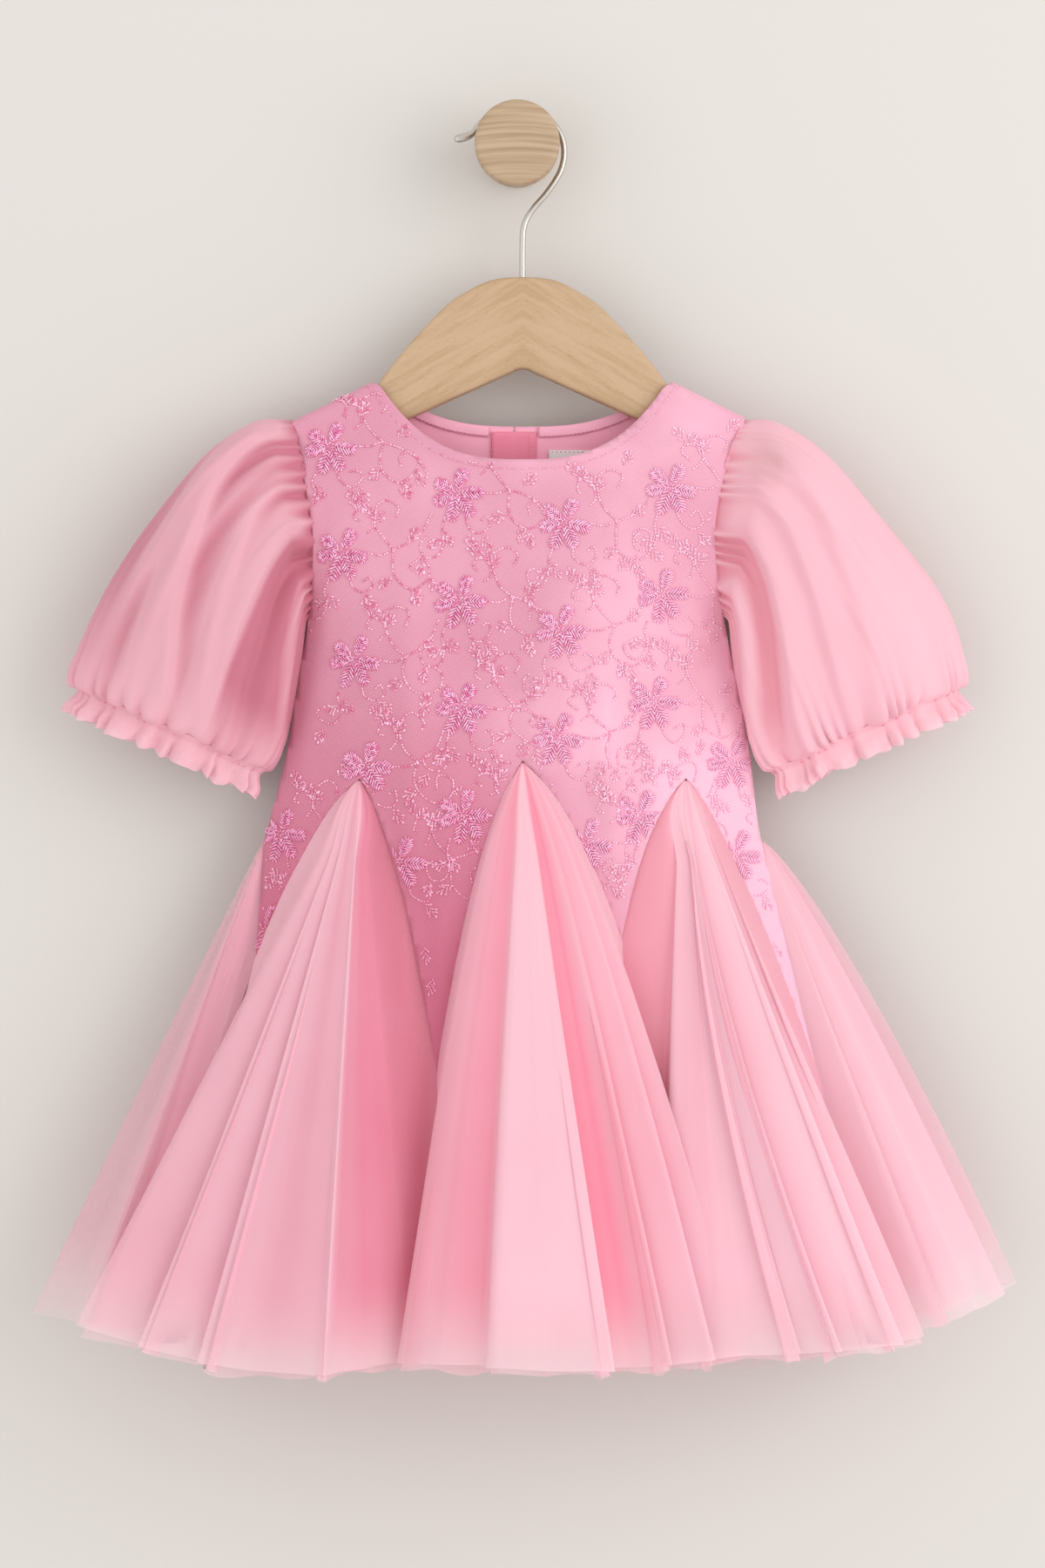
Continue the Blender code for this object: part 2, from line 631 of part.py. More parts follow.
def fan_section(fan, share):
    """Control points of a fan's section, at a share of the way from its point to the hem."""
    first = SEAMS[fan.first_seam]
    second = SEAMS[(fan.first_seam + 1) % len(SEAMS)]
    middle_face = 0 if at_side(fan) else first.face
    apex_y = (body_point(fan.apex_x, fan.apex_z, middle_face)[1] if middle_face
              else body(fan.apex_z, "mid"))
    way = 1 if first.hem_x < second.hem_x else -1
    if not middle_face:
        into_first = into_second = FAN_SEAM * (1 if fan.apex_x > 0 else -1)
    else:
        into_first, into_second = FAN_SEAM * way, -FAN_SEAM * way
    hem_points = [body_point(first.hem_x, SEAM_FOOT_Z, first.face)[:2]]
    hem_points += [np.array([fold.x, fold.y], float) for fold in fan.folds]
    hem_points += [body_point(second.hem_x, SEAM_FOOT_Z, second.face)[:2]]
    controls = []
    z = fan.apex_z + (hem_z(first.hem_x) - fan.apex_z) * share
    controls.append(seam_place(fan, first, z, into_first))
    even_share = 1 - smooth_step(share / EVEN_UNTIL)
    for i, fold in enumerate(fan.folds, 1):
        even = (hem_points[i - 1] + 2 * hem_points[i] + hem_points[i + 1]) / 4
        crease = hem_points[i] - even
        x = fan.apex_x + (even[0] - fan.apex_x) * share ** fold.spread + crease[0] * share ** 2
        y = apex_y + (even[1] - apex_y) * share + crease[1] * share ** 2
        z = fan.apex_z + (hem_z(fold.x) - fan.apex_z) * share
        if middle_face:
            sides = [seam_x(fan, seam, z) for seam in (first, second)]
            spaced = sides[0] + (sides[1] - sides[0]) * i / (len(fan.folds) + 1)
            x += (spaced - x) * even_share
            for seam, edge, inward in ((first, sides[0], way), (second, sides[1], -way)):
                below = max(seam.point_z - z, 0.0)
                limit = edge + inward * (FOLD_SPACE * (1 - even_share) + APEX_SPACE - 0.35 * below)
                x = max(x, limit) if inward > 0 else min(x, limit)
        controls.append(np.array([x, y, z]))
    z = fan.apex_z + (hem_z(second.hem_x) - fan.apex_z) * share
    controls.append(seam_place(fan, second, z, into_second))
    return controls


def godet(fan, material):
    rows = [curve_through(fan_section(fan, share), STEPS_A_FOLD) for share in fan_rows(fan)]
    return cloth_wall(fan.name, rows, TULLE_WALL, material)


def underskirt(material):
    """A tube of tulle from the inside of the bodice to below the fans' hems."""
    columns = UNDERSKIRT_WAVES * 4
    rows = []
    for z in UNDERSKIRT_ROWS:
        share = (z - UNDERSKIRT_ROWS[0]) / (UNDERSKIRT_ROWS[-1] - UNDERSKIRT_ROWS[0])
        inset = PANEL_WALL + UNDERSKIRT_INSET + UNDERSKIRT_HEM_INSET * share
        wave = UNDERSKIRT_WAVE * share ** 1.3
        left, right, mid = (body(z, key) for key in ("left", "right", "mid"))
        reach = 0.92 - 0.07 * share
        ring = []
        for i in range(columns):
            angle = 2 * pi * i / columns
            u = -reach * cos(angle)
            face = FRONT if sin(angle) > 0 else BACK
            full = body(z, "front" if face == FRONT else "back")
            side = body(z, "side")
            depth = side + (full - side) * (1 - abs(u) ** 3) - inset
            depth *= sqrt(max(1 - cos(angle) ** 6, 0.0))
            ripple = 1 + wave * cos(UNDERSKIRT_WAVES * angle) / 60.0
            x = (left + right) / 2 + u * (right - left) / 2
            y = mid + face * (depth + wave * cos(UNDERSKIRT_WAVES * angle) - wave)
            ring.append(np.array([x * ripple, y, z]))
        rows.append(ring)
    return cloth_wall("underskirt", rows, TULLE_WALL, material, closed=True)


# Sleeves and cuffs


def ring_value(along, key):
    return table_value(SLEEVE, "along", along, key)


def sleeve_ring(side, along, columns):
    """A ring of the sleeve, from its outer edge round the front to its inner edge and back."""
    ring = []
    out = np.array([ring_value(along, "out_x"), ring_value(along, "out_z")])
    inn = np.array([ring_value(along, "in_x"), ring_value(along, "in_z")])
    fold = ring_value(along, "fold")
    armhole = smooth_step(1 - along / ARMHOLE_REACH)
    for i in range(columns):
        angle = 2 * pi * i / columns
        x, z = (out + inn) / 2 + (out - inn) / 2 * cos(angle)
        x = x * -side + (RIGHT_SLEEVE_SHIFT if side > 0 else 0.0)
        depth = ring_value(along, "front" if sin(angle) > 0 else "back")
        crease = fold * cos(SLEEVE_FOLDS * angle + SLEEVE_TWIST * along * pi)
        round_off = abs(sin(angle)) ** 0.85 * (1 if sin(angle) > 0 else -1)
        y = SLEEVE_MID_Y - (depth + crease) * round_off
        x -= -side * crease * cos(angle)
        if armhole > 0:
            edge = body(z, "left" if side < 0 else "right") + side * ARMHOLE_SEAM
            half = max(body(z, "side"), 2.6)
            arm_y = body(z, "mid") - half * (1 if sin(angle) > 0 else -1) * min(abs(sin(angle)) * 3, 1)
            x = x + (edge - x) * armhole
            y = y + (arm_y - y) * armhole
        ring.append(np.array([x, y, z]))
    return ring


def sleeve(side, material):
    columns = SLEEVE_FOLDS * 4
    rows = [sleeve_ring(side, along, columns) for along in SLEEVE_ROWS]
    name = "sleeve_left" if side < 0 else "sleeve_right"
    return cloth_wall(name, rows, ORGANZA_WALL, material, closed=True, flip=side < 0)


def cuff_frill(side, material):
    columns = FRILL_WAVES * 4
    last = SLEEVE[-1]
    line = np.array([last.in_x - last.out_x, last.in_z - last.out_z])
    line /= np.linalg.norm(line)
    down = np.array([line[1], -line[0]])
    cuff = sleeve_ring(side, 1.0, columns)
    rows = []
    for ruffle in FRILL:
        ring = []
        for i, place in enumerate(cuff):
            angle = 2 * pi * i / columns
            out = ruffle.flare + ruffle.wave * cos(FRILL_WAVES * angle)
            flat = down * ruffle.distance - line * cos(angle) * out
            ring.append(place + np.array([flat[0] * -side, -sin(angle) * out, flat[1]]))
        rows.append(ring)
    name = "cuff_frill_left" if side < 0 else "cuff_frill_right"
    return cloth_wall(name, rows, ORGANZA_WALL, material, closed=True, flip=side < 0)


# Neck facing, placket, label and buttons: strips taken from the body's own points


def strip(name, rows, away, material):
    """A strip that follows the back's cloth. Away is its near side's distance from it."""
    outer = []
    inner = []
    for row in rows:
        for x, length in row:
            place = body_point(x, length, BACK)
            normal = body_normal(x, length, BACK)
            outer.append(place + normal * (away + BAND_WALL))
            inner.append(place + normal * away)
    count, width = len(rows), len(rows[0])
    first = count * width
    faces = []
    for i in range(count - 1):
        for j in range(width - 1):
            a, b = i * width + j, i * width + j + 1
            c, d = b + width, a + width
            faces.append((a, b, c, d))
            faces.append((first + a, first + d, first + c, first + b))
    ring = list(range(width))
    ring += [i * width + width - 1 for i in range(1, count)]
    ring += [(count - 1) * width + j for j in range(width - 2, -1, -1)]
    ring += [i * width for i in range(count - 2, 0, -1)]
    for a, b in zip(ring, ring[1:] + ring[:1]):
        faces.append((a, first + a, first + b, b))
    return add_mesh(name, outer + inner, faces, material)


def neck_facing(side, material):
    """A narrow band inside the back neck, from beside the placket to the neck point."""
    start = np.degrees(np.arcsin((BACK_OPENING_X + side * FACING_START) / NECK_HALF_WIDTH))
    edge = neck_line(start, side * FACING_END, BACK_NECK_DROP, 8)
    rows = []
    for width in FACING_EDGES:
        row = []
        for i, (x, length) in enumerate(edge):
            a, b = np.array(edge[max(i - 1, 0)]), np.array(edge[min(i + 1, len(edge) - 1)])
            run = (b - a) / np.linalg.norm(b - a)
            off = np.array([run[1], -run[0]]) * side
            row.append((x + off[0] * width, length + off[1] * width))
        rows.append(row)
    word = "left" if side < 0 else "right"
    return strip("neck_facing_" + word, rows, INSIDE, material)


def placket(name, band, material):
    xs = (BACK_OPENING_X - band.half_width, BACK_OPENING_X, BACK_OPENING_X + band.half_width)
    rows = [[(x, z) for x in xs] for z in np.linspace(band.top, band.bottom, PLACKET_ROWS)]
    return strip(name, rows, band.away, material)


def label(material):
    rows = [[(x, z) for x in LABEL_COLUMNS] for z in LABEL_ROWS]
    return strip("label", rows, INSIDE, material)


def turned(name, profile, centre, material, steps=32):
    """A round piece along Y: its profile gives radius and y from one end to the other."""
    work = bmesh.new()
    rings = []
    for radius, y in profile:
        rings.append([work.verts.new(((centre[0] + radius * cos(2 * pi * i / steps)) * MM, y * MM,
                                      (centre[1] + radius * sin(2 * pi * i / steps)) * MM))
                      for i in range(steps)])
    for near, far in zip(rings, rings[1:]):
        for i in range(steps):
            j = (i + 1) % steps
            work.faces.new((near[i], near[j], far[j], far[i]))
    work.faces.new(rings[0][::-1])
    work.faces.new(rings[-1])
    bmesh.ops.recalc_face_normals(work, faces=work.faces)
    mesh = bpy.data.meshes.new(name)
    work.to_mesh(mesh)
    work.free()
    mesh.materials.append(material)
    mesh.shade_smooth()
    mesh.set_sharp_from_angle(angle=radians(35))
    item = bpy.data.objects.new(name, mesh)
    bpy.context.scene.collection.objects.link(item)
    return item


def button(number, material):
    z = BUTTON_TOP_Z - BUTTON_PITCH * number
    y = body_point(BACK_OPENING_X, z, BACK)[1] + OUTSIDE + BAND_WALL + BUTTON_SPACE
    profile = [(BUTTON_RADIUS - 0.5, y), (BUTTON_RADIUS, y + 0.6), (BUTTON_RADIUS, y + 1.6),
               (BUTTON_RADIUS - 0.9, y + 2.3)]
    return turned(f"button_{number + 1}", profile, (BACK_OPENING_X + CENTRE_X, z), material, 16)


# Peg, hook and hanger


def wall_peg(material):
    neck, disc, edge = PEG_NECK_RADIUS, PEG_DISC_RADIUS, PEG_SOFT_EDGE
    profile = [(neck, 0), (neck, -PEG_NECK_LENGTH + 1), (neck + 1, -PEG_NECK_LENGTH)]
    profile += [(disc - edge, -PEG_NECK_LENGTH), (disc, -PEG_NECK_LENGTH - edge)]
    profile += [(disc, -PEG_LENGTH + edge), (disc - 0.5, -PEG_LENGTH + 0.5), (disc - edge, -PEG_LENGTH)]
    return turned("wall_peg", profile, (0, 0), material, 40)


def hook(material):
    """The wire: its tip left of the peg, over the peg's neck, and down into the hanger."""
    end = Bend(CENTRE_X, BOARD_TOP_Z - STEM_HOLE_DEPTH + STEM_END_SPACE)
    route = [np.array([bend.x, HANG_Y, bend.z]) for bend in WIRE_ROUTE + [end]]
    points = curve_through(route, 2)
    line = bpy.data.curves.new("hook", "CURVE")
    line.dimensions = "3D"
    line.bevel_depth = WIRE_RADIUS * MM
    line.bevel_resolution = 2
    line.use_fill_caps = True
    spline = line.splines.new("POLY")
    spline.points.add(len(points) - 1)
    for i, (place, point) in enumerate(zip(points, spline.points)):
        point.co = (*(place * MM), 1.0)
        point.radius = WIRE_TIP[i] if i < len(WIRE_TIP) else 1.0
    line.materials.append(material)
    item = bpy.data.objects.new("hook", line)
    bpy.context.scene.collection.objects.link(item)
    return item


def hanger(material):
    """The board: a domed top that falls into two straight arms, over a wide V."""
    half = [(corner.out, BOARD_TOP_Z - corner.drop) for corner in BOARD_HALF]
    outline = half + [(-x, z) for x, z in half[::-1] if x > 0]
    work = bmesh.new()
    front = (HANG_Y - BOARD_THICKNESS / 2) * MM
    verts = [work.verts.new(((x + CENTRE_X) * MM, front, z * MM)) for x, z in outline]
    face = work.faces.new(verts)
    grown = bmesh.ops.extrude_face_region(work, geom=[face])
    moved = [item for item in grown["geom"] if isinstance(item, bmesh.types.BMVert)]
    bmesh.ops.translate(work, verts=moved, vec=(0, BOARD_THICKNESS * MM, 0))
    bmesh.ops.recalc_face_normals(work, faces=work.faces)
    long_edges = [edge for edge in work.edges if abs(edge.verts[0].co.y - edge.verts[1].co.y) < 1e-6]
    bmesh.ops.bevel(work, geom=long_edges, offset=BOARD_CHAMFER * MM, segments=2, profile=0.5,
                    affect="EDGES")
    mesh = bpy.data.meshes.new("hanger")
    work.to_mesh(mesh)
    work.free()
    mesh.materials.append(material)
    mesh.shade_smooth()
    mesh.set_sharp_from_angle(angle=radians(35))
    item = bpy.data.objects.new("hanger", mesh)
    bpy.context.scene.collection.objects.link(item)
    bpy.ops.mesh.primitive_cylinder_add(
        vertices=16, radius=(WIRE_RADIUS + STEM_CLEARANCE) * MM, depth=2 * STEM_HOLE_DEPTH * MM,
        location=(CENTRE_X * MM, HANG_Y * MM, BOARD_TOP_Z * MM))
    cutter = bpy.context.active_object
    cutter.name = "stem_hole_cutter"
    cutter.hide_render = True
    cutter.display_type = "WIRE"
    cut = item.modifiers.new("stem hole", "BOOLEAN")
    cut.operation = "DIFFERENCE"
    cut.object = cutter
    return item


def main():
    clear_scene()
    beech = finish("beech", (0.64, 0.44, 0.29), 0.5)
    wire = finish("brushed wire", (0.6, 0.57, 0.53), 0.3, 1.0)
    net = finish("embroidered net", (0.84, 0.37, 0.5), 0.75)
    tulle = finish("tulle", (0.92, 0.42, 0.55), 0.7)
    organza = finish("organza", (0.9, 0.45, 0.55), 0.65)
    cotton = finish("facing cotton", (0.87, 0.36, 0.5), 0.8)
    white = finish("label ribbon", (0.9, 0.89, 0.87), 0.7)
    pearl = finish("button", (0.93, 0.6, 0.7), 0.35)

    wall_peg(beech)
    hook(wire)
    hanger(beech)
    front_panel(net)
    back_panel(-1, net)
    back_panel(1, net)
    for side in (-1, 1):
        sleeve(side, organza)
        cuff_frill(side, organza)
        neck_facing(side, cotton)
    placket("placket_outer", PLACKET_OUTER, net)
    placket("placket_inner", PLACKET_INNER, cotton)
    label(white)
    for number in range(BUTTONS):
        button(number, pearl)
    for fan in FANS:
        godet(fan, tulle)
    underskirt(tulle)


main()
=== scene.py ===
import random
from collections import namedtuple
from math import atan2, cos, degrees, exp, pi, radians, sin, sqrt

import bmesh
import bpy
import numpy as np
from mathutils import Matrix, Vector, noise

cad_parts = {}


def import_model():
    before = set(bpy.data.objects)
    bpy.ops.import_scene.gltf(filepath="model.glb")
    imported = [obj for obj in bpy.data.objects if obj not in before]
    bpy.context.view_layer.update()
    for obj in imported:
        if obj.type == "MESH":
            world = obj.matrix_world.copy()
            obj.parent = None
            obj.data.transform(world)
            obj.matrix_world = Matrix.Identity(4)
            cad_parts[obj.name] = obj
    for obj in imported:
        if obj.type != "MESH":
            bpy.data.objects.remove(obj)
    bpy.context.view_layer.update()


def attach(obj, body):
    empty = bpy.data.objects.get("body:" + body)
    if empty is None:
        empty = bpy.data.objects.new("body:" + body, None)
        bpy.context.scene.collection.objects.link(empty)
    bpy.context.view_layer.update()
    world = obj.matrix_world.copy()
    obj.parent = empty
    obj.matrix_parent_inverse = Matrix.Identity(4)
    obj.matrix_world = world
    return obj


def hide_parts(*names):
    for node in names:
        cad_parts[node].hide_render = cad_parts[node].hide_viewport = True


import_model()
print("frame loaded")

mm = 0.001
centreX = 2.8      # the garment's centre line, right of the peg's middle
hangY = -31.0      # plane of the wire and the middle of the hanger's board
front, back = -1, 1


# small helpers: colour, sockets, meshes

def rgb(r, g, b):
    # a screen colour as the linear values a shader wants
    def lin(c):
        c = c / 255
        return c / 12.92 if c <= 0.04045 else ((c + 0.055) / 1.055) ** 2.4
    return (lin(r), lin(g), lin(b), 1.0)


class Wire:
    # one output socket of a finish, with arithmetic on it
    def __init__(self, finish, socket):
        self.finish = finish
        self.socket = socket

    def math(self, operation, *values):
        return self.finish.node("ShaderNodeMath", {"operation": operation}, dict(enumerate(values)))

    def __add__(self, other): return self.math("ADD", self, other)
    __radd__ = __add__
    def __sub__(self, other): return self.math("SUBTRACT", self, other)
    def __rsub__(self, other): return self.math("SUBTRACT", other, self)
    def __mul__(self, other): return self.math("MULTIPLY", self, other)
    __rmul__ = __mul__
    def __pow__(self, other): return self.math("POWER", self, other)
    def wave(self): return self.math("SINE", self)
    def size(self): return self.math("ABSOLUTE", self)
    def over(self, other): return self.math("MAXIMUM", self, other)
    def under(self, other): return self.math("MINIMUM", self, other)

    def part(self, axis):
        return self.finish.node("ShaderNodeSeparateXYZ", {}, {0: self}, axis)

    def spread(self, low, high, to0=0.0, to1=1.0):
        return self.finish.node("ShaderNodeMapRange", {"interpolation_type": "SMOOTHSTEP"},
                                {0: self, 1: low, 2: high, 3: to0, 4: to1})


class Finish:
    # a Principled material whose nodes all come from node()
    def __init__(self, name, **sockets):
        self.material = bpy.data.materials.new(name)
        self.material.use_nodes = True
        self.tree = self.material.node_tree
        self.shader = self.tree.nodes["Principled BSDF"]
        for key, value in sockets.items():
            self.shader.inputs[key.replace("_", " ")].default_value = value

    def node(self, kind, settings, values, output=0):
        made = self.tree.nodes.new(kind)
        for key, value in settings.items():
            setattr(made, key, value)
        for key, value in values.items():
            if isinstance(value, Wire):
                self.tree.links.new(value.socket, made.inputs[key])
            else:
                made.inputs[key].default_value = value
        return Wire(self, made.outputs[output])

    def feed(self, name, wire):
        self.tree.links.new(wire.socket, self.shader.inputs[name])

    def place(self):
        return self.node("ShaderNodeTexCoord", {}, {}, "Object")

    def cloth(self):
        return self.node("ShaderNodeUVMap", {"uv_map": "cloth"}, {})

    def speckle(self, where, scale, detail=3.0):
        return self.node("ShaderNodeTexNoise", {}, {"Vector": where, "Scale": scale, "Detail": detail})

    def stretched(self, x, y, z, detail):
        # noise drawn out by a scale of its own along each axis
        return self.speckle(self.node("ShaderNodeCombineXYZ", {}, {0: x, 1: y, 2: z}), 1.0, detail)

    def weave(self, pitch):
        cloth = self.place()
        return (cloth.part(0) * pitch).wave() * (cloth.part(2) * pitch).wave()

    def blendColors(self, amount, first, second):
        return self.node("ShaderNodeMix", {"data_type": "RGBA"}, {0: amount, 6: first, 7: second}, 2)

    def bump(self, height, distance, strength):
        made = self.node("ShaderNodeBump", {}, {"Height": height, "Distance": distance,
                                                "Strength": strength})
        self.feed("Normal", made)


def linked(name, data):
    item = bpy.data.objects.new(name, data)
    bpy.context.scene.collection.objects.link(item)
    return item


def meshOf(name, work):
    mesh = bpy.data.meshes.new(name)
    work.to_mesh(mesh)
    work.free()
    return mesh


def newPiece(name, work, finish, recalc=True):
    # a smooth-shaded object from a bmesh, carried by the part's one body
    if recalc:
        bmesh.ops.recalc_face_normals(work, faces=work.faces)
    mesh = meshOf(name, work)
    mesh.materials.append(finish.material)
    mesh.shade_smooth()
    piece = linked(name, mesh)
    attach(piece, "root")
    return piece


def world(x, y, z):
    return Vector(((x + centreX) * mm, y * mm, z * mm))


def clothGrid(name, columns, rows, place, finish):
    # a grid of cloth: place(u, v) gives a point in millimetres, v from its top edge down
    work = bmesh.new()
    bmesh.ops.create_grid(work, x_segments=columns, y_segments=rows, size=0.5)
    layer = work.loops.layers.uv.new("cloth")
    for face in work.faces:
        for loop in face.loops:
            loop[layer].uv = (loop.vert.co.x + 0.5, loop.vert.co.y + 0.5)
    for vert in work.verts:
        vert.co = world(*place(vert.co.x + 0.5, 0.5 - vert.co.y))
    return newPiece(name, work, finish)


def lathed(profile, middle, steps):
    # a round body turned about Y through its middle, from pairs of radius and depth
    work = bmesh.new()
    verts = [work.verts.new(middle + Vector((radius * mm, deep * mm, 0))) for radius, deep in profile]
    edges = [work.edges.new(pair) for pair in zip(verts, verts[1:])]
    bmesh.ops.spin(work, geom=verts + edges, axis=(0, 1, 0), cent=middle, steps=steps, angle=2 * pi,
                   use_merge=True)
    bmesh.ops.remove_doubles(work, verts=work.verts, dist=1e-6)
    return work


def thicken(piece, thickness, offset=-1.0):
    # offset -1 grows the wall inward only, 0 to both sides
    wall = piece.modifiers.new("wall", "SOLIDIFY")
    wall.thickness = thickness * mm
    wall.offset = offset
    return wall


def smoothStep(t):
    t = min(max(t, 0.0), 1.0)
    return t * t * (3 - 2 * t)


def tableValue(rows, key, at, value):
    # a column of a table, smooth between its rows
    keys = np.array([getattr(row, key) for row in rows], float)
    values = np.array([getattr(row, value) for row in rows], float)
    if keys[0] > keys[-1]:
        keys, values = keys[::-1], values[::-1]
    slopes = np.gradient(values, keys)
    at = min(max(at, keys[0]), keys[-1])
    i = min(int(np.searchsorted(keys, at, side="right")) - 1, len(keys) - 2)
    width = keys[i + 1] - keys[i]
    t = (at - keys[i]) / width
    bend = width * (t * (1 - t) ** 2 * slopes[i] - t * t * (1 - t) * slopes[i + 1])
    return float(values[i] + (values[i + 1] - values[i]) * t * t * (3 - 2 * t) + bend)


def tableRow(rows, key, at):
    # every other column of a table at one place
    return {name: tableValue(rows, key, at, name) for name in rows[0]._fields if name != key}


def curveThrough(points, steps):
    # a smooth run through control points, a set number of steps between each two
    controls = np.array(points, float)
    ends = np.vstack([2 * controls[0] - controls[1], controls, 2 * controls[-1] - controls[-2]])
    result = []
    for i in range(len(controls) - 1):
        a, b, c, d = ends[i:i + 4]
        for step in range(steps):
            t = step / steps
            result.append(0.5 * (2 * b + (c - a) * t + (2 * a - 5 * b + 4 * c - d) * t * t
                                 + (3 * b - a - 3 * c + d) * t ** 3))
    result.append(controls[-1])
    return np.array(result)


def runLengths(line):
    # how far along a line each of its points lies
    return np.concatenate([[0], np.cumsum(np.linalg.norm(np.diff(line, axis=0), axis=1))])


def sideways(line):
    # unit directions to the side of a line, seen flat, at each of its points
    run = np.gradient(line, axis=0)
    out = np.stack([run[:, 1], -run[:, 0]], 1)
    return out / np.maximum(np.linalg.norm(out, axis=1, keepdims=True), 1e-6)


def ripple(x, y, z=0.0):
    # smooth noise that never changes from run to run
    return noise.noise(Vector((x, y, z)))


# camera, backdrop and light

studio = {
    "cameraDistance": 2.5, "frameHeight": 0.828, "look": (0.0028, -0.339), "lookY": -0.05,
    "wall": (217, 213, 209), "keyPower": 28.0, "keySize": 2.2, "keyFrom": (2.1, -1.7, 0.1),
    "fillPower": 9.0, "fillSize": 2.4, "fillFrom": (-1.8, -2.1, -0.4), "aim": (0, 0, -0.33),
    "sky": (250, 249, 247), "skyStrength": 0.95,
}


def setStudio():
    scene = bpy.context.scene
    scene.view_settings.view_transform = "Standard"
    lens = bpy.data.cameras.new("camera")
    lens.sensor_width = 36.0
    distance = studio["cameraDistance"]
    lens.lens = 36.0 * distance / studio["frameHeight"]
    lens.clip_end = 20
    camera = linked("camera", lens)
    x, z = studio["look"]
    camera.location = (x, studio["lookY"] - distance, z)
    camera.rotation_euler = (pi / 2, 0, 0)
    scene.camera = camera

    # the backdrop shows only its front side, so that views from behind see the garment
    wall = Finish("wallPaint", Roughness=0.9, Base_Color=rgb(*studio["wall"]))
    facing = wall.node("ShaderNodeNewGeometry", {}, {}, "Backfacing")
    clear = wall.node("ShaderNodeBsdfTransparent", {}, {})
    both = wall.node("ShaderNodeMixShader", {}, {0: facing, 1: Wire(wall, wall.shader.outputs[0]),
                                                 2: clear})
    wall.tree.links.new(both.socket, wall.tree.nodes["Material Output"].inputs["Surface"])
    work = bmesh.new()
    bmesh.ops.create_grid(work, x_segments=1, y_segments=1, size=4.0)
    bmesh.ops.rotate(work, verts=work.verts, matrix=Matrix.Rotation(pi / 2, 3, "X"))
    bmesh.ops.translate(work, verts=work.verts, vec=(0, 0.0006, 0))
    mesh = meshOf("backdrop", work)
    mesh.materials.append(wall.material)
    linked("backdrop", mesh)

    for name in ("key", "fill"):
        lamp = bpy.data.lights.new(name, "AREA")
        lamp.energy = studio[name + "Power"]
        lamp.size = studio[name + "Size"]
        item = linked(name, lamp)
        item.location = studio[name + "From"]
        aim = Vector(studio["aim"]) - item.location
        item.rotation_euler = aim.to_track_quat("-Z", "Y").to_euler()
    sky = bpy.data.worlds.new("sky")
    sky.use_nodes = True
    background = sky.node_tree.nodes["Background"]
    background.inputs[0].default_value = rgb(*studio["sky"])
    background.inputs[1].default_value = studio["skyStrength"]
    scene.world = sky


setStudio()
print("studio set")


# the body's cloth: the same sizes as the solids

Section = namedtuple("Section", "z left right mid front back side")
bodySections = [Section(*row) for row in (
    (-100, -123.3, 118.0, -31.0, 10.0, 9.0, 8.6),
    (-146, -123.3, 118.0, -31.0, 13.0, 10.0, 8.6),
    (-160, -119.6, 112.2, -31.0, 18.0, 11.5, 12.5),
    (-178, -115.5, 106.4, -31.0, 22.0, 13.0, 16.0),
    (-208, -111.0, 101.7, -31.0, 26.0, 15.0, 16.5),
    (-232, -112.0, 104.0, -31.0, 28.0, 16.0, 10.5),
    (-250, -114.0, 107.0, -31.0, 28.0, 16.5, 2.6),
    (-284, -119.6, 113.8, -31.0, 29.0, 17.0, 1.9),
    (-320, -125.0, 120.5, -31.0, 30.0, 18.0, 1.9),
    (-369, -137.5, 127.0, -34.0, 31.5, 20.5, 1.9),
    (-433, -158.0, 150.0, -39.6, 33.5, 25.6, 3.5),
    (-499, -181.0, 178.0, -45.5, 35.5, 31.0, 5.5),
    (-650, -247.0, 247.0, -58.5, 42.0, 42.0, 10.0),
)]
neck = {"halfWidth": 81.0, "pointZ": -125.6, "frontDrop": 42.0, "backDrop": 22.5, "roundness": 2.85}
shoulder = {"slope": 0.49, "start": 0.25, "reach": 9.0, "drop": 3.4, "length": 10.1, "growth": 36.0}
openingX = -4.6  # where the two back halves meet
armholeZ = -146  # the shoulders' tips


def body(z, value):
    return tableValue(bodySections, "z", z, value)


bodyCache = {}


def bodyRow(z):
    # the section at a height, kept for each fifth of a millimetre
    key = round(z * 5)
    if key not in bodyCache:
        bodyCache[key] = tableRow(bodySections, "z", key / 5)
    return bodyCache[key]


def shoulderZ(x):
    return neck["pointZ"] - shoulder["slope"] * max(abs(x) - neck["halfWidth"], 0.0)


def clothTop(x):
    return shoulderZ(x) + shoulder["length"] - shoulder["drop"]


def bodyPoint(x, length, face):
    # a place on the cloth's outer face; length falls from the shoulder's ridge, along the cloth
    # as it rolls over the shoulder and then by height
    below = max(clothTop(x) - length, 0.0)
    turn = min(below / shoulder["length"], 1.0) * pi / 2
    reach, start = shoulder["reach"], shoulder["start"]
    roll = start + reach * sin(turn)
    z = shoulderZ(x) - shoulder["drop"] * (1 - cos(turn)) - max(below - shoulder["length"], 0.0)
    row = bodyRow(z)
    side = row["side"]
    full = row["front" if face == front else "back"]
    half = (row["right"] - row["left"]) / 2
    u = min(abs((x - (row["left"] + row["right"]) / 2) / half), 1.0)
    depth = side + (full - side) * (1 - u ** 3)
    grow = smoothStep((below - shoulder["length"]) / shoulder["growth"])
    depth = roll + (depth - start - reach) * grow
    return np.array([x, row["mid"] + face * depth, z])


def bodyNormal(x, length, face):
    step = 0.8
    along = bodyPoint(x, length + step, face) - bodyPoint(x, length - step, face)
    wide = bodyPoint(x + step, length, face) - bodyPoint(x - step, length, face)
    normal = np.cross(wide, along)
    normal /= np.linalg.norm(normal)
    return normal if normal[1] * face > 0 or (abs(normal[1]) < 0.2 and normal[2] > 0) else -normal


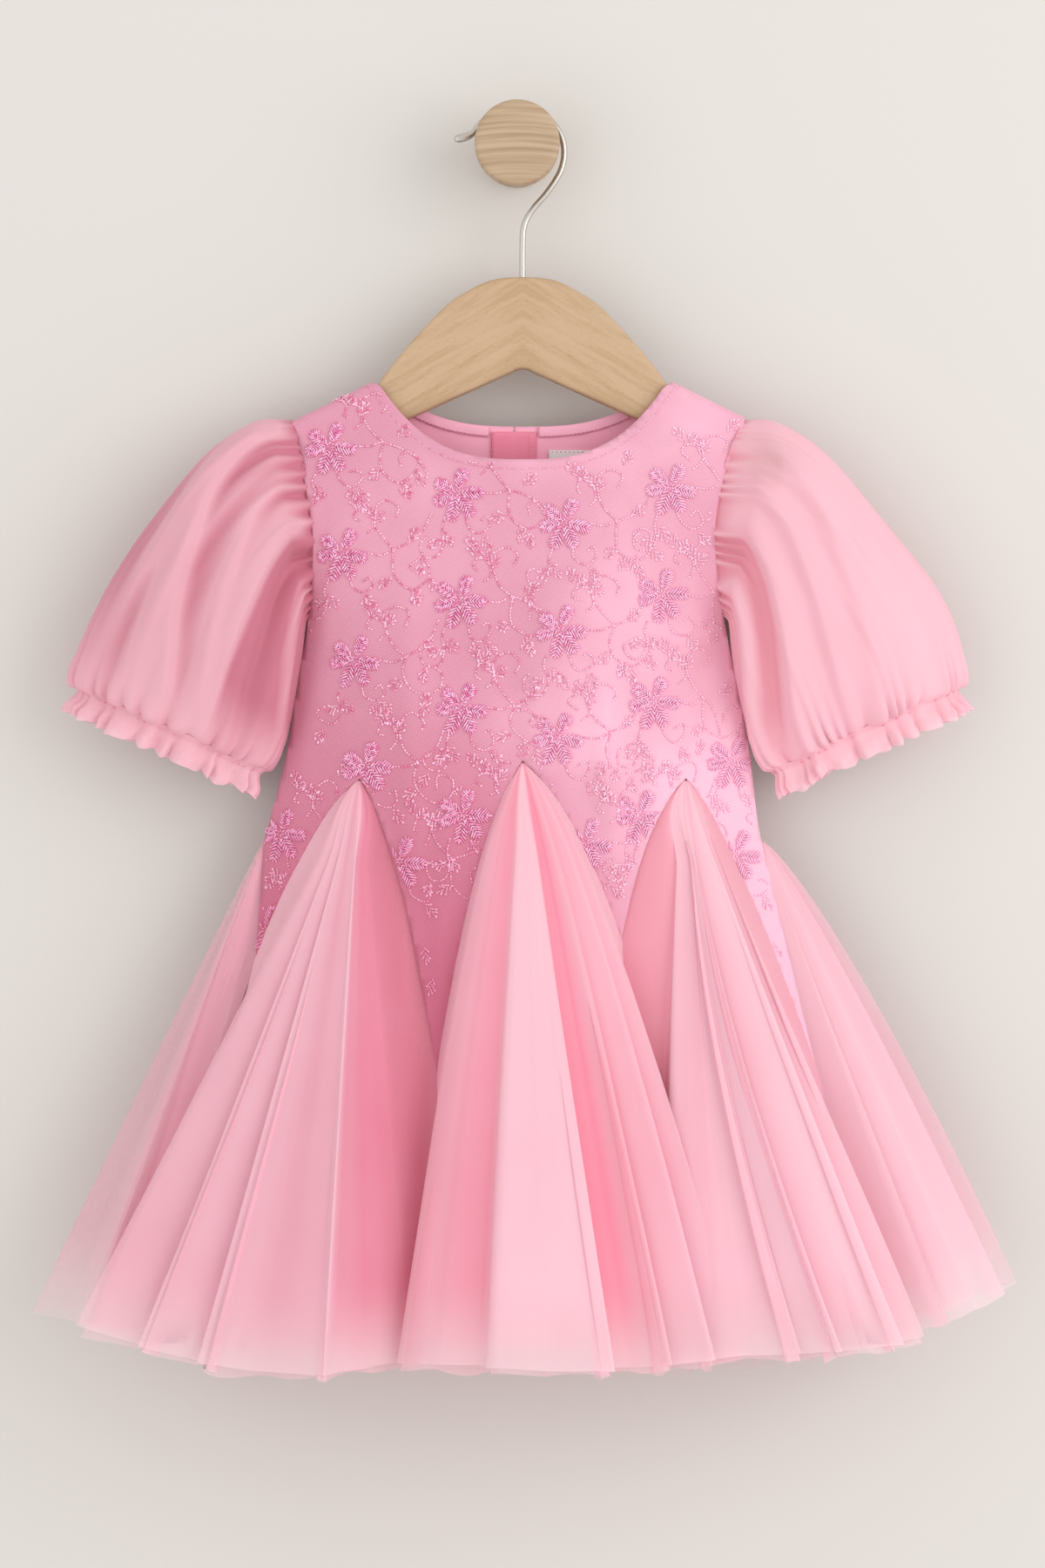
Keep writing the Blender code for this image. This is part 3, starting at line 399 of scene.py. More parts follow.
def neckLength(x, drop):
    # the neck's cut edge, as bodyPoint counts length
    top = clothTop(neck["halfWidth"])
    share = min(abs(x) / neck["halfWidth"], 1.0)
    fall = drop + shoulder["length"] - shoulder["drop"]
    return top - fall * (1 - share ** neck["roundness"])


def neckX(turn):
    # how far across the neck a direction lies, in degrees from its middle
    return neck["halfWidth"] * sin(radians(turn))


def neckTurn(x):
    return degrees(np.arcsin(x / neck["halfWidth"]))


def neckLine(start, end, drop, steps):
    xs = [neckX(start + (end - start) * i / steps) for i in range(steps + 1)]
    return [(x, neckLength(x, drop)) for x in xs]


# the skirt's seams and fans

Seam = namedtuple("Seam", "pointX pointZ hemX face")
seams = [Seam(*row) for row in (
    (-141.0, -433.0, -207.0, front), (-44.0, -494.0, -46.0, front),
    (51.5, -422.0, 80.5, front), (157.0, -499.0, 188.6, front),
    (146.0, -440.0, 216.0, back), (44.0, -470.0, 60.0, back),
    (-44.0, -470.0, -58.0, back), (-150.0, -440.0, -212.0, back),
)]
# each fold at the hem: its place, how fast it leaves the point, and how deep in colour and how
# clear the cloth to its right is (folds lie over each other, so some of it is double; the rest of the
# depth is painted shade in the valleys and under the edges of overlapping folds)
Fold = namedtuple("Fold", "x y spread deep clear")
Fan = namedtuple("Fan", "name apexX apexZ firstSeam folds")
fans = [Fan(*row, [Fold(*fold) for fold in folds]) for *row, folds in (
    ("godet_front_left", -86.0, -336.0, 0, [
        (-231, -103, 0.97, 0.0, 0.25), (-190, -112, 1, 0.25, 0), (-197, -119, 1, 0.0, 0.1),
        (-160, -123, 1, 0.3, 0), (-166, -130, 1, 0.0, 0), (-136, -135, 1, 0.45, 0),
        (-106, -146, 1, 0.3, 0), (-101, -151, 1, 0.0, 0), (-96, -142, 1, 0.65, 0),
        (-80, -126, 1, 0.8, 0), (-58, -112, 1, 0.85, 0)]),
    ("godet_front_centre", 0.0, -326.6, 1, [
        (-64, -122, 0.6, 0.25, 0.1), (-45, -136, 0.68, 0.55, 0), (-22, -140, 0.8, 0.7, 0),
        (-16.6, -150, 0.9, 0.0, 0), (14, -149, 1, 0.0, 0), (46.5, -149, 0.95, 0.0, 0),
        (41, -138, 0.9, 0.75, 0), (57, -133, 0.85, 0.8, 0), (76, -139, 0.78, 0.25, 0),
        (71, -131, 0.76, 0.5, 0), (98, -134, 0.72, 0.2, 0), (93, -127, 0.7, 0.45, 0),
        (113.6, -124, 0.68, 0.1, 0.15)]),
    ("godet_front_right", 86.5, -336.0, 2, [
        (68, -106, 0.42, 0.52, 0), (73, -124, 0.36, 0.1, 0), (94, -128, 0.75, 0.25, 0),
        (117, -127, 1.5, 0.15, 0), (142, -131, 1.65, 0.05, 0), (138, -126, 1.6, 0.2, 0),
        (162.8, -134, 1.45, 0.0, 0), (156, -126, 1.4, 0.35, 0), (178, -127, 1.2, 0.1, 0),
        (196, -123, 1.05, 0.0, 0), (190, -115, 1.05, 0.3, 0), (208, -108, 1, 0.0, 0.15),
        (202, -98, 1, 0.3, 0.1)]),
    ("godet_side_right", 127.0, -369.0, 3, [
        (221, -96, 1, 0.0, 0), (214, -88, 1, 0.1, 0), (236, -88, 0.95, 0.05, 0),
        (252, -80, 0.85, 0.0, 0.25), (245, -72, 0.85, 0.2, 0.3), (260, -63, 0.78, 0.05, 0.5),
        (252, -46, 0.8, 0.2, 0.35), (238, -34, 0.9, 0.3, 0.15)]),
    ("godet_back_right", 86.0, -336.0, 4, [
        (203, -22, 1, 0.3, 0.1), (180, -16, 1, 0.45, 0), (188, -9, 1, 0.1, 0),
        (160, -20, 1, 0.4, 0), (142, -9, 1, 0.1, 0), (112, -18, 1, 0.5, 0),
        (120, -9, 1, 0.1, 0), (97, -9, 1, 0.2, 0), (76, -15, 1, 0.35, 0)]),
    ("godet_back_centre", 0.0, -326.6, 5, [
        (46, -11, 0.8, 0.2, 0), (20, -18, 1, 0.5, 0), (27, -8, 1, 0.1, 0),
        (1, -8, 1, 0.15, 0), (-26, -18, 1, 0.5, 0), (-20, -8, 1, 0.1, 0),
        (-44, -11, 0.8, 0.2, 0)]),
    ("godet_back_left", -86.0, -336.0, 6, [
        (-76, -15, 1, 0.3, 0), (-95, -9, 1, 0.1, 0), (-120, -18, 1, 0.5, 0),
        (-112, -9, 1, 0.1, 0), (-140, -9, 1, 0.2, 0), (-168, -20, 1, 0.5, 0),
        (-160, -9, 1, 0.1, 0), (-184, -11, 1, 0.2, 0), (-200, -22, 1, 0.3, 0)]),
    ("godet_side_left", -137.5, -369.0, 7, [
        (-236, -33, 1, 0.3, 0.5), (-258.5, -58, 0.95, 0.15, 0.5), (-242, -78, 1, 0.05, 0.6),
        (-228, -88, 1, 0.0, 0.3), (-220, -80, 1, 0.3, 0)]),
)]
Hem = namedtuple("Hem", "x z")
fanLook = {
    "steps": 9, "rows": 62, "creaseGrowth": 1.3, "depth": 0.6, "round": 0.7, "cluster": 0.05,
    "crease": 0.5, "flutter": 1.4, "ragged": 0.8,
    # how an edge meets its seam: sideways and inward of it, above and below the bodice's point
    "share": 0.4, "tuck": 2.5, "under": 1.9, "rise": 1.3,
    # how the folds leave the bodice: from behind its cloth to in front of it
    "behind": 1.5, "step": 2.8,
}
hemZero = -637.0  # the height at which the seams reach their places at the hem
hemLine = [Hem(*row) for row in (
    (-259, -617), (-231, -619), (-197, -628), (-166, -635), (-101, -639),
    (-46, -635), (46, -637), (113, -632), (162, -629), (207, -624),
    (250, -606), (260, -601),
)]


def hemZ(x):
    return tableValue(hemLine, "x", x, "z")


def fanNamed(name):
    return next(fan for fan in fans if fan.name == name)


def seamX(fan, seam, z):
    # where a fan's seam lies at a height: bowed above the bodice's point, straight to the hem below
    if z <= seam.pointZ:
        share = (seam.pointZ - z) / (seam.pointZ - hemZero)
        return seam.pointX + (seam.hemX - seam.pointX) * min(share, 1.05)
    share = max((fan.apexZ - z) / (fan.apexZ - seam.pointZ), 0.0)
    bow = 0.0 if "side" in fan.name else 7.0 * sin(pi * share ** 0.7) * (1 if seam.pointX > fan.apexX else -1)
    return fan.apexX + (seam.pointX - fan.apexX) * share + bow


def fanSection(fan, share, lap):
    # control points of a fan's section, at a share of the way from its point to the hem; its edges
    # come out from under the bodice and lap over it a little
    first = seams[fan.firstSeam]
    second = seams[(fan.firstSeam + 1) % len(seams)]
    face = 0 if "side" in fan.name else first.face
    apexY = bodyPoint(fan.apexX, fan.apexZ, face)[1] if face else bodyRow(fan.apexZ)["mid"]
    way = 1 if first.hemX < second.hemX else -1
    ways = (way, -way) if face else ((1, 1) if fan.apexX > 0 else (-1, -1))
    edges = [bodyPoint(seam.hemX, hemZero, seam.face)[:2] for seam in (first, second)]
    hemPoints = [edges[0], *[np.array([fold.x, fold.y], float) for fold in fan.folds], edges[1]]
    grow = share ** fanLook["creaseGrowth"]
    evenShare = 1 - smoothStep(share / 0.16)
    leave = smoothStep(share / 0.05)
    controls = []
    for i, point in enumerate(hemPoints):
        if i in (0, len(hemPoints) - 1):
            seam, turn = (first, ways[0]) if i == 0 else (second, ways[1])
            z = fan.apexZ + (hemZ(seam.hemX) - fan.apexZ) * share
            # past the point of the bodice two fans share the seam
            joined = smoothStep((seam.pointZ + 18 - z) / 36)
            tuck = fanLook["share"] * joined - fanLook["tuck"] * leave * (1 - joined)
            place = bodyPoint(seamX(fan, seam, z) + turn * tuck, z, seam.face)
            place[1] -= seam.face * (fanLook["under"] - fanLook["rise"] * joined)
            controls.append(place)
            continue
        fold = fan.folds[i - 1]
        even = (hemPoints[i - 1] + 2 * point + hemPoints[i + 1]) / 4
        crease = point - even
        x = fan.apexX + (even[0] - fan.apexX) * share ** fold.spread + crease[0] * grow
        y = apexY + (even[1] - apexY) * share + crease[1] * grow * fanLook["depth"]
        z = fan.apexZ + (hemZ(fold.x) - fan.apexZ) * share
        if face:
            sides = [seamX(fan, seam, z) for seam in (first, second)]
            spaced = sides[0] + (sides[1] - sides[0]) * i / (len(fan.folds) + 1)
            x += (spaced - x) * evenShare
            for seam, edge, inward in ((first, sides[0], way), (second, sides[1], -way)):
                below = max(seam.pointZ - z, 0.0)
                limit = edge - inward * (lap * leave * smoothStep(share / 0.25) + 0.5 * below)
                x = max(x, limit) if inward > 0 else min(x, limit)
            skin = bodyPoint(x, z, face)[1]
            behind = fanLook["behind"]
            y = face * max(face * y - behind * (1 - leave), face * skin - behind + fanLook["step"] * leave)
        controls.append(np.array([x, y, z]))
    return controls


def foldLine(controls):
    # flat facets between the folds, each fold a little rounded
    steps = fanLook["steps"]
    smooth = curveThrough(controls, steps)
    line = []
    for i in range(len(smooth)):
        facet, step = divmod(i, steps)
        t = step / steps
        t = t - fanLook["cluster"] * sin(2 * pi * t)
        first = np.array(controls[facet])
        second = np.array(controls[min(facet + 1, len(controls) - 1)])
        line.append(first + (second - first) * t + (smooth[i] - first - (second - first) * step / steps)
                    * fanLook["round"])
    return np.array(line)


# finishes

def greyed(color):
    # a deep colour as it looks away from the light
    return tuple(c * f for c, f in zip(color, (0.78, 0.93, 0.93, 1.0)))


Tulle = namedtuple("Tulle", "name light deep hem alpha hemAlpha seed shade most", defaults=(0.0, 1.0))


def tulleFinish(look):
    # sheer net: its folds are deep where several layers lie together and where painted shade is put in
    # the creases; it is painted deeper and greyer on the left, away from the light; its hem paler and
    # clearer;
    # shade is the least painted-shade depth on the side away from the light, most the greatest toward it
    finish = Finish(look.name, Roughness=0.85, Sheen_Weight=0.2, Specular_IOR_Level=0.12)
    light, deep, hemLight = rgb(*look.light), rgb(*look.deep), rgb(*look.hem)
    cloth = finish.cloth()
    u, v = cloth.part(0), cloth.part(1)
    amount, clear = (finish.node("ShaderNodeAttribute", {"attribute_name": word}, {}, "Fac")
                     for word in ("deep", "clear"))
    soft = finish.speckle(finish.place(), 16.0, 2.0) - 0.5
    streak = finish.node("ShaderNodeTexNoise", {"noise_dimensions": "2D"}, {
        "Vector": finish.node("ShaderNodeCombineXYZ", {}, {0: u * 60.0, 1: v * 0.9 + look.seed}),
        "Scale": 1.0, "Detail": 2.0, "Roughness": 0.6}) - 0.5
    across = finish.place().part(0)
    # painted shade: the fold depth, deeper toward the left away from the light, with random streaks and soft
    # patches; then at least the shade depth on the left and at most the most depth on the lit right
    tone = (amount + (across * -0.5 + 0.03) + soft * 0.25 + streak * 0.22).over(0.0).under(1.0)
    if look.shade:
        tone = tone.over(across.spread(-0.02, -0.17, 0.0, look.shade) + streak * 0.1 + soft * 0.15)
        tone = tone.under(across.spread(0.0, 0.12, 1.0, look.most))
    # painted shade: the deep colour greyed on the left, away from the light
    lit = across.spread(-0.16, 0.06)
    color = finish.blendColors(tone, light, finish.blendColors(lit, greyed(deep), deep))
    hem = v.spread(0.045, 0.0)
    color = finish.blendColors(hem * 0.6, color, hemLight)
    finish.feed("Base Color", color)
    solid = (look.alpha + amount * 0.12 + streak * 0.08) - hem * (look.alpha - look.hemAlpha)
    finish.feed("Alpha", (solid * (1.0 - clear)).under(0.99).over(0.03))
    return finish


finishes = {
    "net": Finish("embroideredNet", Roughness=0.8, Sheen_Weight=0.2, Specular_IOR_Level=0.2),
    "thread": Finish("satinThread", Roughness=0.36, Sheen_Weight=0.3, Coat_Weight=0.15),
    "vine": Finish("chainThread", Roughness=0.5),
    "stitch": Finish("seamThread", Roughness=0.6),
    "cotton": Finish("facingCotton", Roughness=0.85),
    "placket": Finish("placketCotton", Roughness=0.85),
    "lining": Finish("bodiceLining", Roughness=0.85),
    "label": Finish("bareLabel", Roughness=0.75),
    "button": Finish("buttonPearl", Roughness=0.3),
    "beech": Finish("hangerBeech", Roughness=0.5),
    "peg": Finish("pegBeech", Roughness=0.55),
    "steel": Finish("satinWire", Roughness=0.3, Metallic=1.0),
}
# the tulle finishes: each deep colour stands for layered cloth and for painted shade, greyed away from the
# light; shade and most bound the painted shade on the dark left and on the lit right
tulles = {
    "organza": ("organza", (253, 197, 210), (226, 126, 146), (253, 197, 210), 0.8, 0.8, 3.0, 0.27, 0.6),
    "frill": ("organzaFrill", (253, 192, 206), (236, 136, 156), (255, 206, 217), 0.84, 0.7, 7.0, 0.42, 0.8),
    "tulle": ("tulleOuter", (255, 208, 221), (250, 138, 164), (255, 226, 233), 0.72, 0.42, 0.0),
    "tulleInner": ("tulleInner", (255, 198, 212), (250, 138, 162), (255, 218, 226), 0.8, 0.36, 5.0),
    "underskirt": ("underskirtTulle", (255, 186, 203), (248, 140, 164), (255, 220, 228), 0.9, 0.1, 9.0),
}
finishes.update({key: tulleFinish(Tulle(*look)) for key, look in tulles.items()})


# the net's colours: low and high are painted shade and painted light, blended lighter toward the lit right;
# fall and cellFall make it darker toward the bottom, partly the deeper lining seen through the net and partly
# painted shade between the fans; soft is the painted shade of two hollows
netLook = {
    "mesh": 0.0014, "ways": (0.35, 1.4, 2.44), "low": (196, 112, 140), "high": (254, 194, 216),
    "soft": (200, 112, 142), "fall": (172, 56, 84), "cell": (250, 192, 212), "cellFall": (236, 150, 180),
    # painted shade: two soft hollows of the bodice made a little deeper, x, z and reach in metres
    "spots": [(0.094, -0.205, 0.055), (-0.062, -0.246, 0.05)],
}


def finishNet():
    f = finishes["net"]
    colors = {key: rgb(*netLook[key]) for key in ("low", "high", "soft", "fall", "cell", "cellFall")}
    where = f.place()
    x, z = where.part(0), where.part(2)
    cell = 2 * pi / netLook["mesh"]
    rows = [(x * (cell * cos(a)) + z * (cell * sin(a))).wave().size() for a in netLook["ways"]]
    net = (rows[0] * rows[1] * rows[2]).spread(0.0, 0.4)
    cloud = f.speckle(where, 14.0, 3.0)
    # painted light and shade: lighter toward the lit right, more so lower down, with random clouds
    lit = x * 2.5 + x * (z * -12.0 - 3.4) + cloud * 0.9
    color = f.blendColors(lit.spread(0.2, 0.9), colors["low"], colors["high"])
    # painted shade in two soft hollows
    for atX, atZ, reach in netLook["spots"]:
        near = 1.0 - ((x - atX) ** 2 + (z - atZ) ** 2) * (1.0 / reach ** 2)
        color = f.blendColors(near.over(0.0) * 0.5, color, colors["soft"])
    # darker toward the bottom: partly the deeper lining seen through the net, partly painted shade between
    # the fans
    fall = (z + x.over(0.0) * 1.3 + x * 0.15 + (cloud - 0.5) * 0.06).spread(-0.24, -0.48)
    color = f.blendColors(fall, color, colors["fall"])
    cells = f.blendColors(fall, colors["cell"], colors["cellFall"])
    f.feed("Base Color", f.blendColors(0.2 + net * 0.8, cells, color))
    f.bump(net, 0.00025, 0.35)


sewnLook = {
    # the size of its speckle, its two colours, its painted-shade colour low on the bodice and its
    # painted-light colour on the lit side
    "thread": (620.0, (232, 116, 168), (255, 200, 232), (232, 130, 174), (255, 198, 226)),
    "vine": (520.0, (228, 122, 162), (255, 204, 228), (228, 140, 174), (255, 210, 230)),
}


def finishThreads():
    for key, (scale, *colors) in sewnLook.items():
        f = finishes[key]
        low, high, deep, pale = (rgb(*color) for color in colors)
        where = f.place()
        x, z = where.part(0), where.part(2)
        color = f.blendColors(f.speckle(where, scale, 1.0).spread(0.34, 0.66), low, high)
        # painted light: paler toward the lit right side
        color = f.blendColors((x * 5.0 + 0.1).under(0.74).over(0.0), color, pale)
        # painted shade: deeper toward the low points of the bodice
        fall = (z + x.over(0.0) * 1.3).spread(-0.3, -0.5)
        f.feed("Base Color", f.blendColors(fall, color, deep))


woodLook = {
    "beech": {"pale": (197, 166, 133), "dark": (179, 145, 109), "run": (0.86, 0.5),
              "grain": (26.0, 120.0, 260.0), "flecks": (420.0, 900.0, 1500.0), "share": (0.75, 0.55)},
    "peg": {"pale": (193, 168, 139), "dark": (166, 137, 108), "bow": 4.0, "grain": (12.0, 40.0, 420.0)},
}


def scaledBy(wires, scales):
    return [wire * scale for wire, scale in zip(wires, scales)]


def finishWood():
    for key, look in woodLook.items():
        f = finishes[key]
        where = f.place()
        x, y, z = where.part(0), where.part(1), where.part(2)
        if key == "peg":
            # end grain: shallow arcs across the disc
            axes = (x, y, z + x * x * look["bow"])
            lines = f.stretched(*scaledBy(axes, look["grain"]), 3.0)
            grain = lines.spread(0.3, 0.72)
        else:
            # long grain with flecks, along each arm of the board
            side = (x - centreX * mm).size()
            along, over = look["run"]
            axes = (side * along - z * over, y, side * over + z * along)
            lines = f.stretched(*scaledBy(axes, look["grain"]), 4.0)
            flecks = f.stretched(*scaledBy(axes, look["flecks"]), 1.0).spread(0.62, 0.72)
            grainShare, fleckShare = look["share"]
            grain = lines.spread(0.35, 0.7) * grainShare + flecks * fleckShare
        f.feed("Base Color", f.blendColors(grain.under(1.0), rgb(*look["pale"]), rgb(*look["dark"])))
        f.bump(lines, 0.0002, 0.25)


def finishSmall():
    for key, pitch, contrast, low, high in (("cotton", 9000.0, 0.2, rgb(255, 176, 202), rgb(255, 194, 216)),
                                            ("label", 7000.0, 0.3, rgb(232, 230, 226), rgb(246, 245, 242))):
        f = finishes[key]
        weave = f.weave(pitch)
        f.feed("Base Color", f.blendColors(weave * contrast + 0.5, low, high))
        f.bump(weave, 0.0001, 0.3)
    for key, scale, low, high in (("lining", 40.0, rgb(255, 170, 196), rgb(255, 188, 210)),
                                  ("placket", 40.0, rgb(240, 134, 162), rgb(248, 150, 176)),
                                  ("stitch", 40.0, rgb(222, 124, 154), rgb(236, 142, 170)),
                                  ("button", 300.0, rgb(248, 190, 205), rgb(252, 214, 224))):
        f = finishes[key]
        f.feed("Base Color", f.blendColors(f.speckle(f.place(), scale), low, high))
    steel = finishes["steel"]
    brushed = steel.speckle(steel.place(), 900.0, 2.0)
    steel.feed("Base Color", steel.blendColors(brushed, rgb(186, 180, 172), rgb(214, 209, 202)))
    steel.feed("Roughness", 0.26 + brushed * 0.14)


finishNet()
finishThreads()
finishWood()
finishSmall()
print("finishes made")


# peg, hook and hanger

pegLook = {
    # radius and depth, from the wall to the disc's rim and in to its middle
    "profile": [(17.8, 0.0), (17.8, -36.8), (18.6, -37.8), (21.0, -38.0), (22.1, -38.5), (22.5, -39.6),
                (22.5, -50.2), (22.2, -51.2), (21.2, -51.9), (19.0, -52.0), (0.0, -52.0)],
    "steps": 96,
}
hookLook = {
    "radius": 1.65, "swell": 0.4, "swellAt": 5, "swellLong": 5.0, "tip": {0: 0.75, 1: 0.2},
    # from the tip, over the peg and down into the board
    "route": [(-33.6, 4.0), (-29.5, 4.7), (-25.0, 6.3), (-22.0, 9.2), (-18.2, 13.6), (-11.5, 18.0),
              (-2.0, 19.9), (6.8, 19.2), (14.0, 16.3), (19.6, 11.9), (23.6, 5.2), (25.0, -3.2),
              (23.6, -11.3), (20.3, -18.0), (14.6, -26.0), (9.6, -31.6), (5.4, -37.6), (3.3, -43.6),
              (2.85, -52.0), (2.8, -61.0), (2.8, -83.2)],
}
boardLook = {
    "topZ": -69.7, "thick": 12, "rim": 2.0,
    # half its outline, as places out from the middle and down: curved top, arm's end, underside
    "curve": [(0, 0), (6.5, 0.2), (12.9, 0.9), (18.5, 2.3), (23.7, 4.5), (31.5, 8.8), (39.1, 13.8),
              (52.0, 26.7), (66.2, 42.8), (78.2, 58.7)],
    "end": [(134.0, 85.9), (137.0, 88.0), (138.0, 90.5), (138.0, 106.5), (136.8, 110.0), (133.5, 111.2)],
    "under": [(63.8, 76.7), (6.0, 50.6), (3.0, 49.0), (0, 48.5)],
}


def makePeg():
    work = lathed(pegLook["profile"], Vector(), pegLook["steps"])
    rim = [e for e in work.edges if all(abs(v.co.y) < 1e-6 for v in e.verts)]
    bmesh.ops.holes_fill(work, edges=rim, sides=0)
    peg = newPiece("wallPeg", work, finishes["peg"])
    peg.data.set_sharp_from_angle(angle=radians(60))
    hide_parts("wall_peg")


def makeHook():
    look = hookLook
    points = curveThrough(look["route"], 5)
    line = bpy.data.curves.new("wireHook", "CURVE")
    line.dimensions = "3D"
    line.bevel_depth = look["radius"] * mm
    line.bevel_resolution = 6
    line.use_fill_caps = True
    spline = line.splines.new("POLY")
    spline.points.add(len(points) - 1)
    for i, ((x, z), point) in enumerate(zip(points, spline.points)):
        point.co = (x * mm, hangY * mm, z * mm, 1.0)
        swell = look["swell"] * exp(-((i - look["swellAt"]) / look["swellLong"]) ** 2)
        point.radius = 1.0 + swell - look["tip"].get(i, 0)
    line.materials.append(finishes["steel"].material)
    hook = linked("wireHook", line)
    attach(hook, "root")
    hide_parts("hook")


def makeBoard():
    look = boardLook
    half = [tuple(p) for p in curveThrough(look["curve"], 3)] + look["end"] + look["under"]
    half = [(x, look["topZ"] - drop) for x, drop in half]
    outline = half + [(-x, z) for x, z in half[::-1] if x > 0]
    work = bmesh.new()
    face = work.faces.new([work.verts.new(world(x, hangY - look["thick"] / 2, z)) for x, z in outline])
    grown = bmesh.ops.extrude_face_region(work, geom=[face])["geom"]
    moved = [item for item in grown if isinstance(item, bmesh.types.BMVert)]
    bmesh.ops.translate(work, verts=moved, vec=(0, look["thick"] * mm, 0))
    bmesh.ops.recalc_face_normals(work, faces=work.faces)
    rims = [e for e in work.edges if abs(e.verts[0].co.y - e.verts[1].co.y) < 1e-6]
    bmesh.ops.bevel(work, geom=rims, offset=look["rim"] * mm, segments=4, profile=0.5, affect="EDGES",
                    material=-1)
    board = newPiece("hangerBoard", work, finishes["beech"])
    board.data.set_sharp_from_angle(angle=radians(40))
    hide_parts("hanger")


makePeg()
makeHook()
makeBoard()
print("peg, hook and hanger made")


# bodice panels

bodiceLook = {
    "fold": 1.7, "wide": 0.026, "long": 0.007, "crumple": 0.5, "turned": 0.35, "turnedWide": 6.2,
    "cell": 3.6, "wall": 0.9,
}
# long soft folds of the front: where each starts and ends, how high it stands and how wide it is
FrontFold = namedtuple("FrontFold", "topX topZ endX endZ high wide")
frontFolds = [FrontFold(*row) for row in (
    (40, -262, 47, -425, 2.6, 5.0), (56, -300, 62, -405, -1.6, 6.0),
    (-26, -190, -15, -330, 1.3, 7.0), (20, -215, 2, -325, 1.2, 6.5),
    (92, -215, 84, -335, 1.7, 6.5), (-99, -200, -122, -350, 1.4, 6.0),
    (-62, -230, -58, -400, 1.5, 7.0), (-36, -330, -44, -470, 1.8, 6.0),
    (108, -270, 134, -420, 1.6, 6.0),
)]


def wrinkle(x, z, face):
    # long soft folds that fall from the chest, and small drags near the armholes
    fall = smoothStep((-170 - z) / 120)
    soft = ripple(x * bodiceLook["wide"], z * bodiceLook["long"], 3.0 * face)
    fine = ripple(x * 0.06, z * 0.02, 7.0 * face)
    height = bodiceLook["fold"] * soft * fall + bodiceLook["crumple"] * fine
    for fold in frontFolds if face == front else ():
        share = (fold.topZ - z) / (fold.topZ - fold.endZ)
        if -0.1 < share < 1.1:
            middle = fold.topX + (fold.endX - fold.topX) * share + 2.5 * ripple(z * 0.03, fold.topX)
            ends = smoothStep((share + 0.1) / 0.35) * smoothStep((1.1 - share) / 0.3)
            height += fold.high * ends * exp(-((x - middle) / fold.wide) ** 2)
    return height


sideName = {-1: "left", 1: "right"}


def shoulderLine(side):
    tip = body(armholeZ, sideName[side])
    return [(x, clothTop(x)) for x in np.linspace(side * neck["halfWidth"], tip, 11)]


def sideLine(side, endZ):
    # the side of a panel, over the shoulder's tip and down to the side fan's top
    name = sideName[side]
    tip = body(armholeZ, name)
    top = clothTop(tip)
    length = shoulder["length"]
    roll = [top - length * i / 5 for i in range(1, 6)]
    lower = list(np.linspace(top - length - 4, endZ, int((top - endZ) / 5)))
    return [(tip, z) for z in roll] + [(body(z, name), z) for z in lower]


def pointEdge(fan, seam):
    # the cut edge from a fan's top down to the tip of a long point
    zs = np.linspace(fan.apexZ, seam.pointZ, int((fan.apexZ - seam.pointZ) / 4))
    return [(seamX(fan, seam, z), z) for z in zs]


def inside(point, outline):
    # whether a flat point lies in an outline
    hit = False
    for (x0, z0), (x1, z1) in zip(outline, outline[1:] + outline[:1]):
        if (z0 > point[1]) != (z1 > point[1]) and point[0] < x0 + (point[1] - z0) * (x1 - x0) / (z1 - z0):
            hit = not hit
    return hit


def edgeDistance(points, outline):
    # how far flat points lie from the nearest side of an outline
    ring = np.array(outline + outline[:1])
    start, run = ring[:-1], np.diff(ring, axis=0)
    length = np.maximum((run * run).sum(1), 1e-9)
    nearest = []
    for point in np.array(points):
        share = np.clip(((point - start) * run).sum(1) / length, 0, 1)
        nearest.append(np.sqrt(((point - start - run * share[:, None]) ** 2).sum(1)).min())
    return np.array(nearest)


def cutSheet(outline, spacing):
    # a flat sheet inside an outline, cut across both ways into an even net of cells
    work = bmesh.new()
    work.faces.new([work.verts.new((x, 0, z)) for x, z in outline])
    low, high = np.min(outline, axis=0), np.max(outline, axis=0)
    for axis, way in ((0, (1, 0, 0)), (1, (0, 0, 1))):
        for at in np.arange(low[axis] + spacing / 2, high[axis], spacing):
            everything = work.verts[:] + work.edges[:] + work.faces[:]
            bmesh.ops.bisect_plane(work, geom=everything, dist=1e-4,
                                   plane_co=[at * value for value in way], plane_no=way)
    return work


def panelShift(x, length, face, near):
    # how far the cloth stands off the body's form: its wrinkles, and the turned neck edge
    shift = wrinkle(x, length, face) * smoothStep(near / 14) - 0.15
    if abs(x) < neck["halfWidth"]:
        fromNeck = neckLength(x, neck["frontDrop" if face == front else "backDrop"]) - length
        shift += bodiceLook["turned"] * smoothStep((bodiceLook["turnedWide"] - fromNeck) / 0.8)
    return shift


